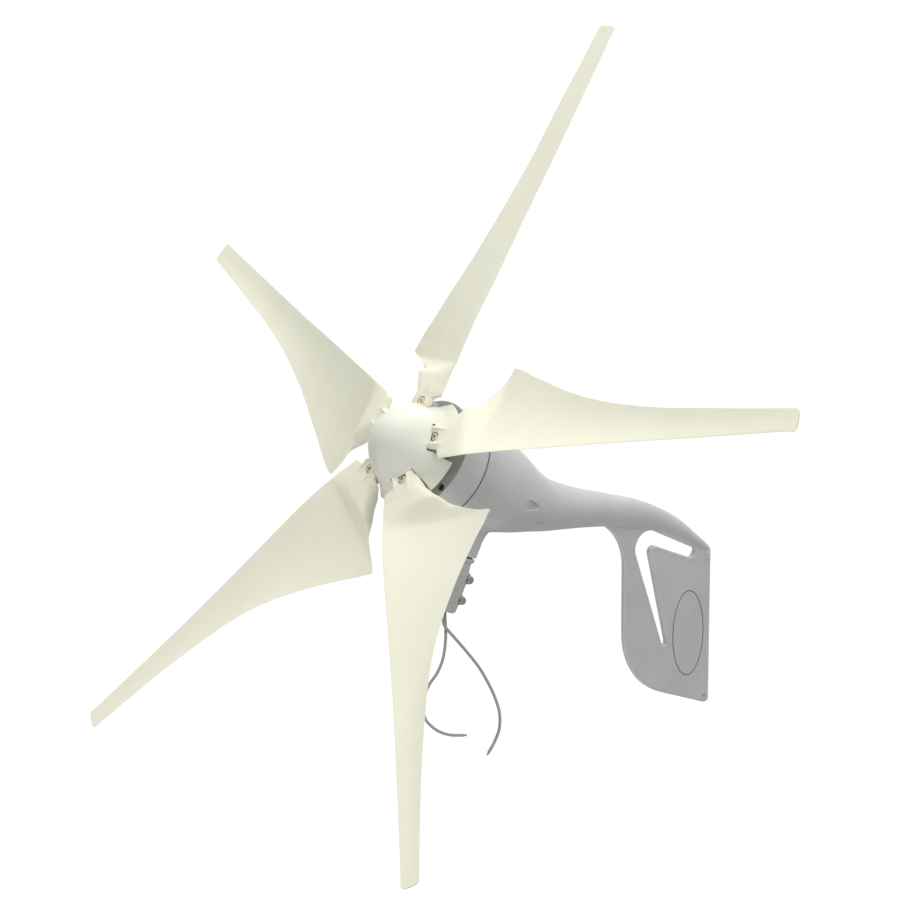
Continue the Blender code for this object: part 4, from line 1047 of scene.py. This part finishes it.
ring, extras = half_clamp(1)
head = lathe("head", [
    (0.0, 0.0545), (0.0300, 0.0545), (0.0312, 0.0580), (0.0300, 0.0680), (0.0330, 0.0695),
    (0.0330, 0.0735), (0.0325, CLAMP_TOP), (0.0, CLAMP_TOP),
], 96, along="Z")
clamp = soften(join_cut(ring, [head] + extras), 0.0008, 4)
clamp = join_cut(clamp, cuts=clamp_cuts(1) + [rod(0.0100, (0, 0, 0.050), (0, 0, 0.080), 64)])
piece("cast_clamp_body", smooth(clamp, 35), CLAMP, "pole_mount", ["clamp_body"])
ring, extras = half_clamp(-1)
loose = soften(join_cut(ring, extras), 0.0008, 4)
loose = join_cut(loose, cuts=clamp_cuts(-1))
piece("cast_clamp_cap", smooth(loose, 35), CLAMP, "pole_mount", ["clamp_cap"])


def hex_bolt(y, z):
    """A hex-head bolt along X with a chamfered head and a raised washer face."""
    shank = lathe("bolt", [
        (0.0, -0.0102), (0.0026, -0.0102), (0.0030, -0.0098), (0.0030, 0.0107), (0.0056, 0.0107),
        (0.0056, 0.0111), (0.0, 0.0111),
    ], 40)
    hexagon = rod(0.0058, (0, 0.0110, 0), (0, 0.0150, 0), 6)
    crown = lathe("crown", [
        (0.0, 0.0105), (0.0060, 0.0105), (0.0060, 0.0140), (0.0049, 0.0150), (0.0, 0.0150),
    ], 48)
    mesh = join_cut(common(hexagon, crown), [shank])
    mesh.transform(Matrix.Translation((0, y, z)) @ Matrix.Rotation(-pi / 2, 4, "Z"))
    return smooth(mesh, 28)


for number, (y, z) in enumerate(BOLT_SPOTS, 1):
    bolt = hex_bolt(y, z)
    piece(f"hex_bolt_{number}", bolt, ZINC, "pole_mount", [f"clamp_bolt_{number}"])

# ---------------------------------------------------------------- floor, light and air
FLOOR_Z = -2.00
FLOOR_R = 2.4
floor_mesh = grid_mesh("floor", [
    [Vector((0, 0, FLOOR_Z))],
    [Vector((*polar(FLOOR_R, 2 * pi * k / 128), FLOOR_Z)) for k in range(128)],
], caps=False)
floor = bpy.data.objects.new("floor", floor_mesh)
scene.collection.objects.link(floor)
pale = Look("pale_floor", (0.50, 0.50, 0.50), 0.9, specular=0.0)
# The floor brightens towards its rim, so that it meets the backdrop without an edge.
far_off = pale.nodes.new("ShaderNodeVectorMath")
far_off.operation = "LENGTH"
pale.links.new(pale.place, far_off.inputs[0])
glow = map_range(pale.nodes, pale.links, far_off.outputs["Value"], 2.20, 2.95, 0.0, 1.30)
pale.shader.inputs["Emission Color"].default_value = (1.0, 1.0, 1.0, 1.0)
pale.links.new(glow, pale.shader.inputs["Emission Strength"])
floor_mesh.materials.append(pale.material)

world = bpy.data.worlds.new("studio")
scene.world = world
world.use_nodes = True
air, connect = world.node_tree.nodes, world.node_tree.links.new
backdrop = air["Background"]
backdrop.inputs["Color"].default_value = (1.0, 1.0, 1.0, 1.0)
backdrop.inputs["Strength"].default_value = 1.05
# The fill is bright from above and dim and cool from below.
fill = air.new("ShaderNodeBackground")
slant = air.new("ShaderNodeVectorMath")
slant.operation = "DOT_PRODUCT"
slant.inputs[1].default_value = (-0.08, -0.05, 0.99)
connect(air.new("ShaderNodeTexCoord").outputs["Generated"], slant.inputs[0])
level = map_range(air, world.node_tree.links, slant.outputs["Value"], -0.5, 0.8, 0.11, 1.37)
connect(level, fill.inputs["Strength"])
tint = air.new("ShaderNodeValToRGB")
low_end, high_end = tint.color_ramp.elements
low_end.color = (0.84, 0.99, 1.0, 1.0)
high_end.position = 0.85
high_end.color = (0.965, 0.995, 0.990, 1.0)
connect(level, tint.inputs["Fac"])
connect(tint.outputs["Color"], fill.inputs["Color"])
blend = air.new("ShaderNodeMixShader")
connect(air.new("ShaderNodeLightPath").outputs["Is Camera Ray"], blend.inputs[0])
connect(fill.outputs[0], blend.inputs[1])
connect(backdrop.outputs[0], blend.inputs[2])
connect(blend.outputs[0], air["World Output"].inputs["Surface"])

TARGET = Vector((0.0, 0.05, 0.2))


def softbox(name, right, up, back, size, power, colour=(1.0, 1.0, 1.0)):
    """A square area light placed from the target along the camera's own axes."""
    data = bpy.data.lights.new(name, "AREA")
    data.shape = "SQUARE"
    data.size = size
    data.energy = power
    data.color = colour
    made = bpy.data.objects.new(name, data)
    scene.collection.objects.link(made)
    made.location = TARGET + CAMERA_RIGHT * right + CAMERA_UP * up + CAMERA_BACK * back
    made.rotation_euler = (TARGET - made.location).to_track_quat("-Z", "Y").to_euler()


softbox("key", -0.6, 3.6, 1.6, 2.0, 11.0, (1.0, 0.975, 0.90))
softbox("front", 2.1, 0.8, 4.0, 2.4, 26.0, (1.0, 0.985, 0.96))
softbox("top", 0.6, 3.8, -1.0, 1.6, 22.0, (1.0, 0.98, 0.90))
softbox("behind", 0.5, 0.5, -4.5, 2.5, 14.0)

scene.view_settings.view_transform = "Standard"
scene.view_settings.look = "None"
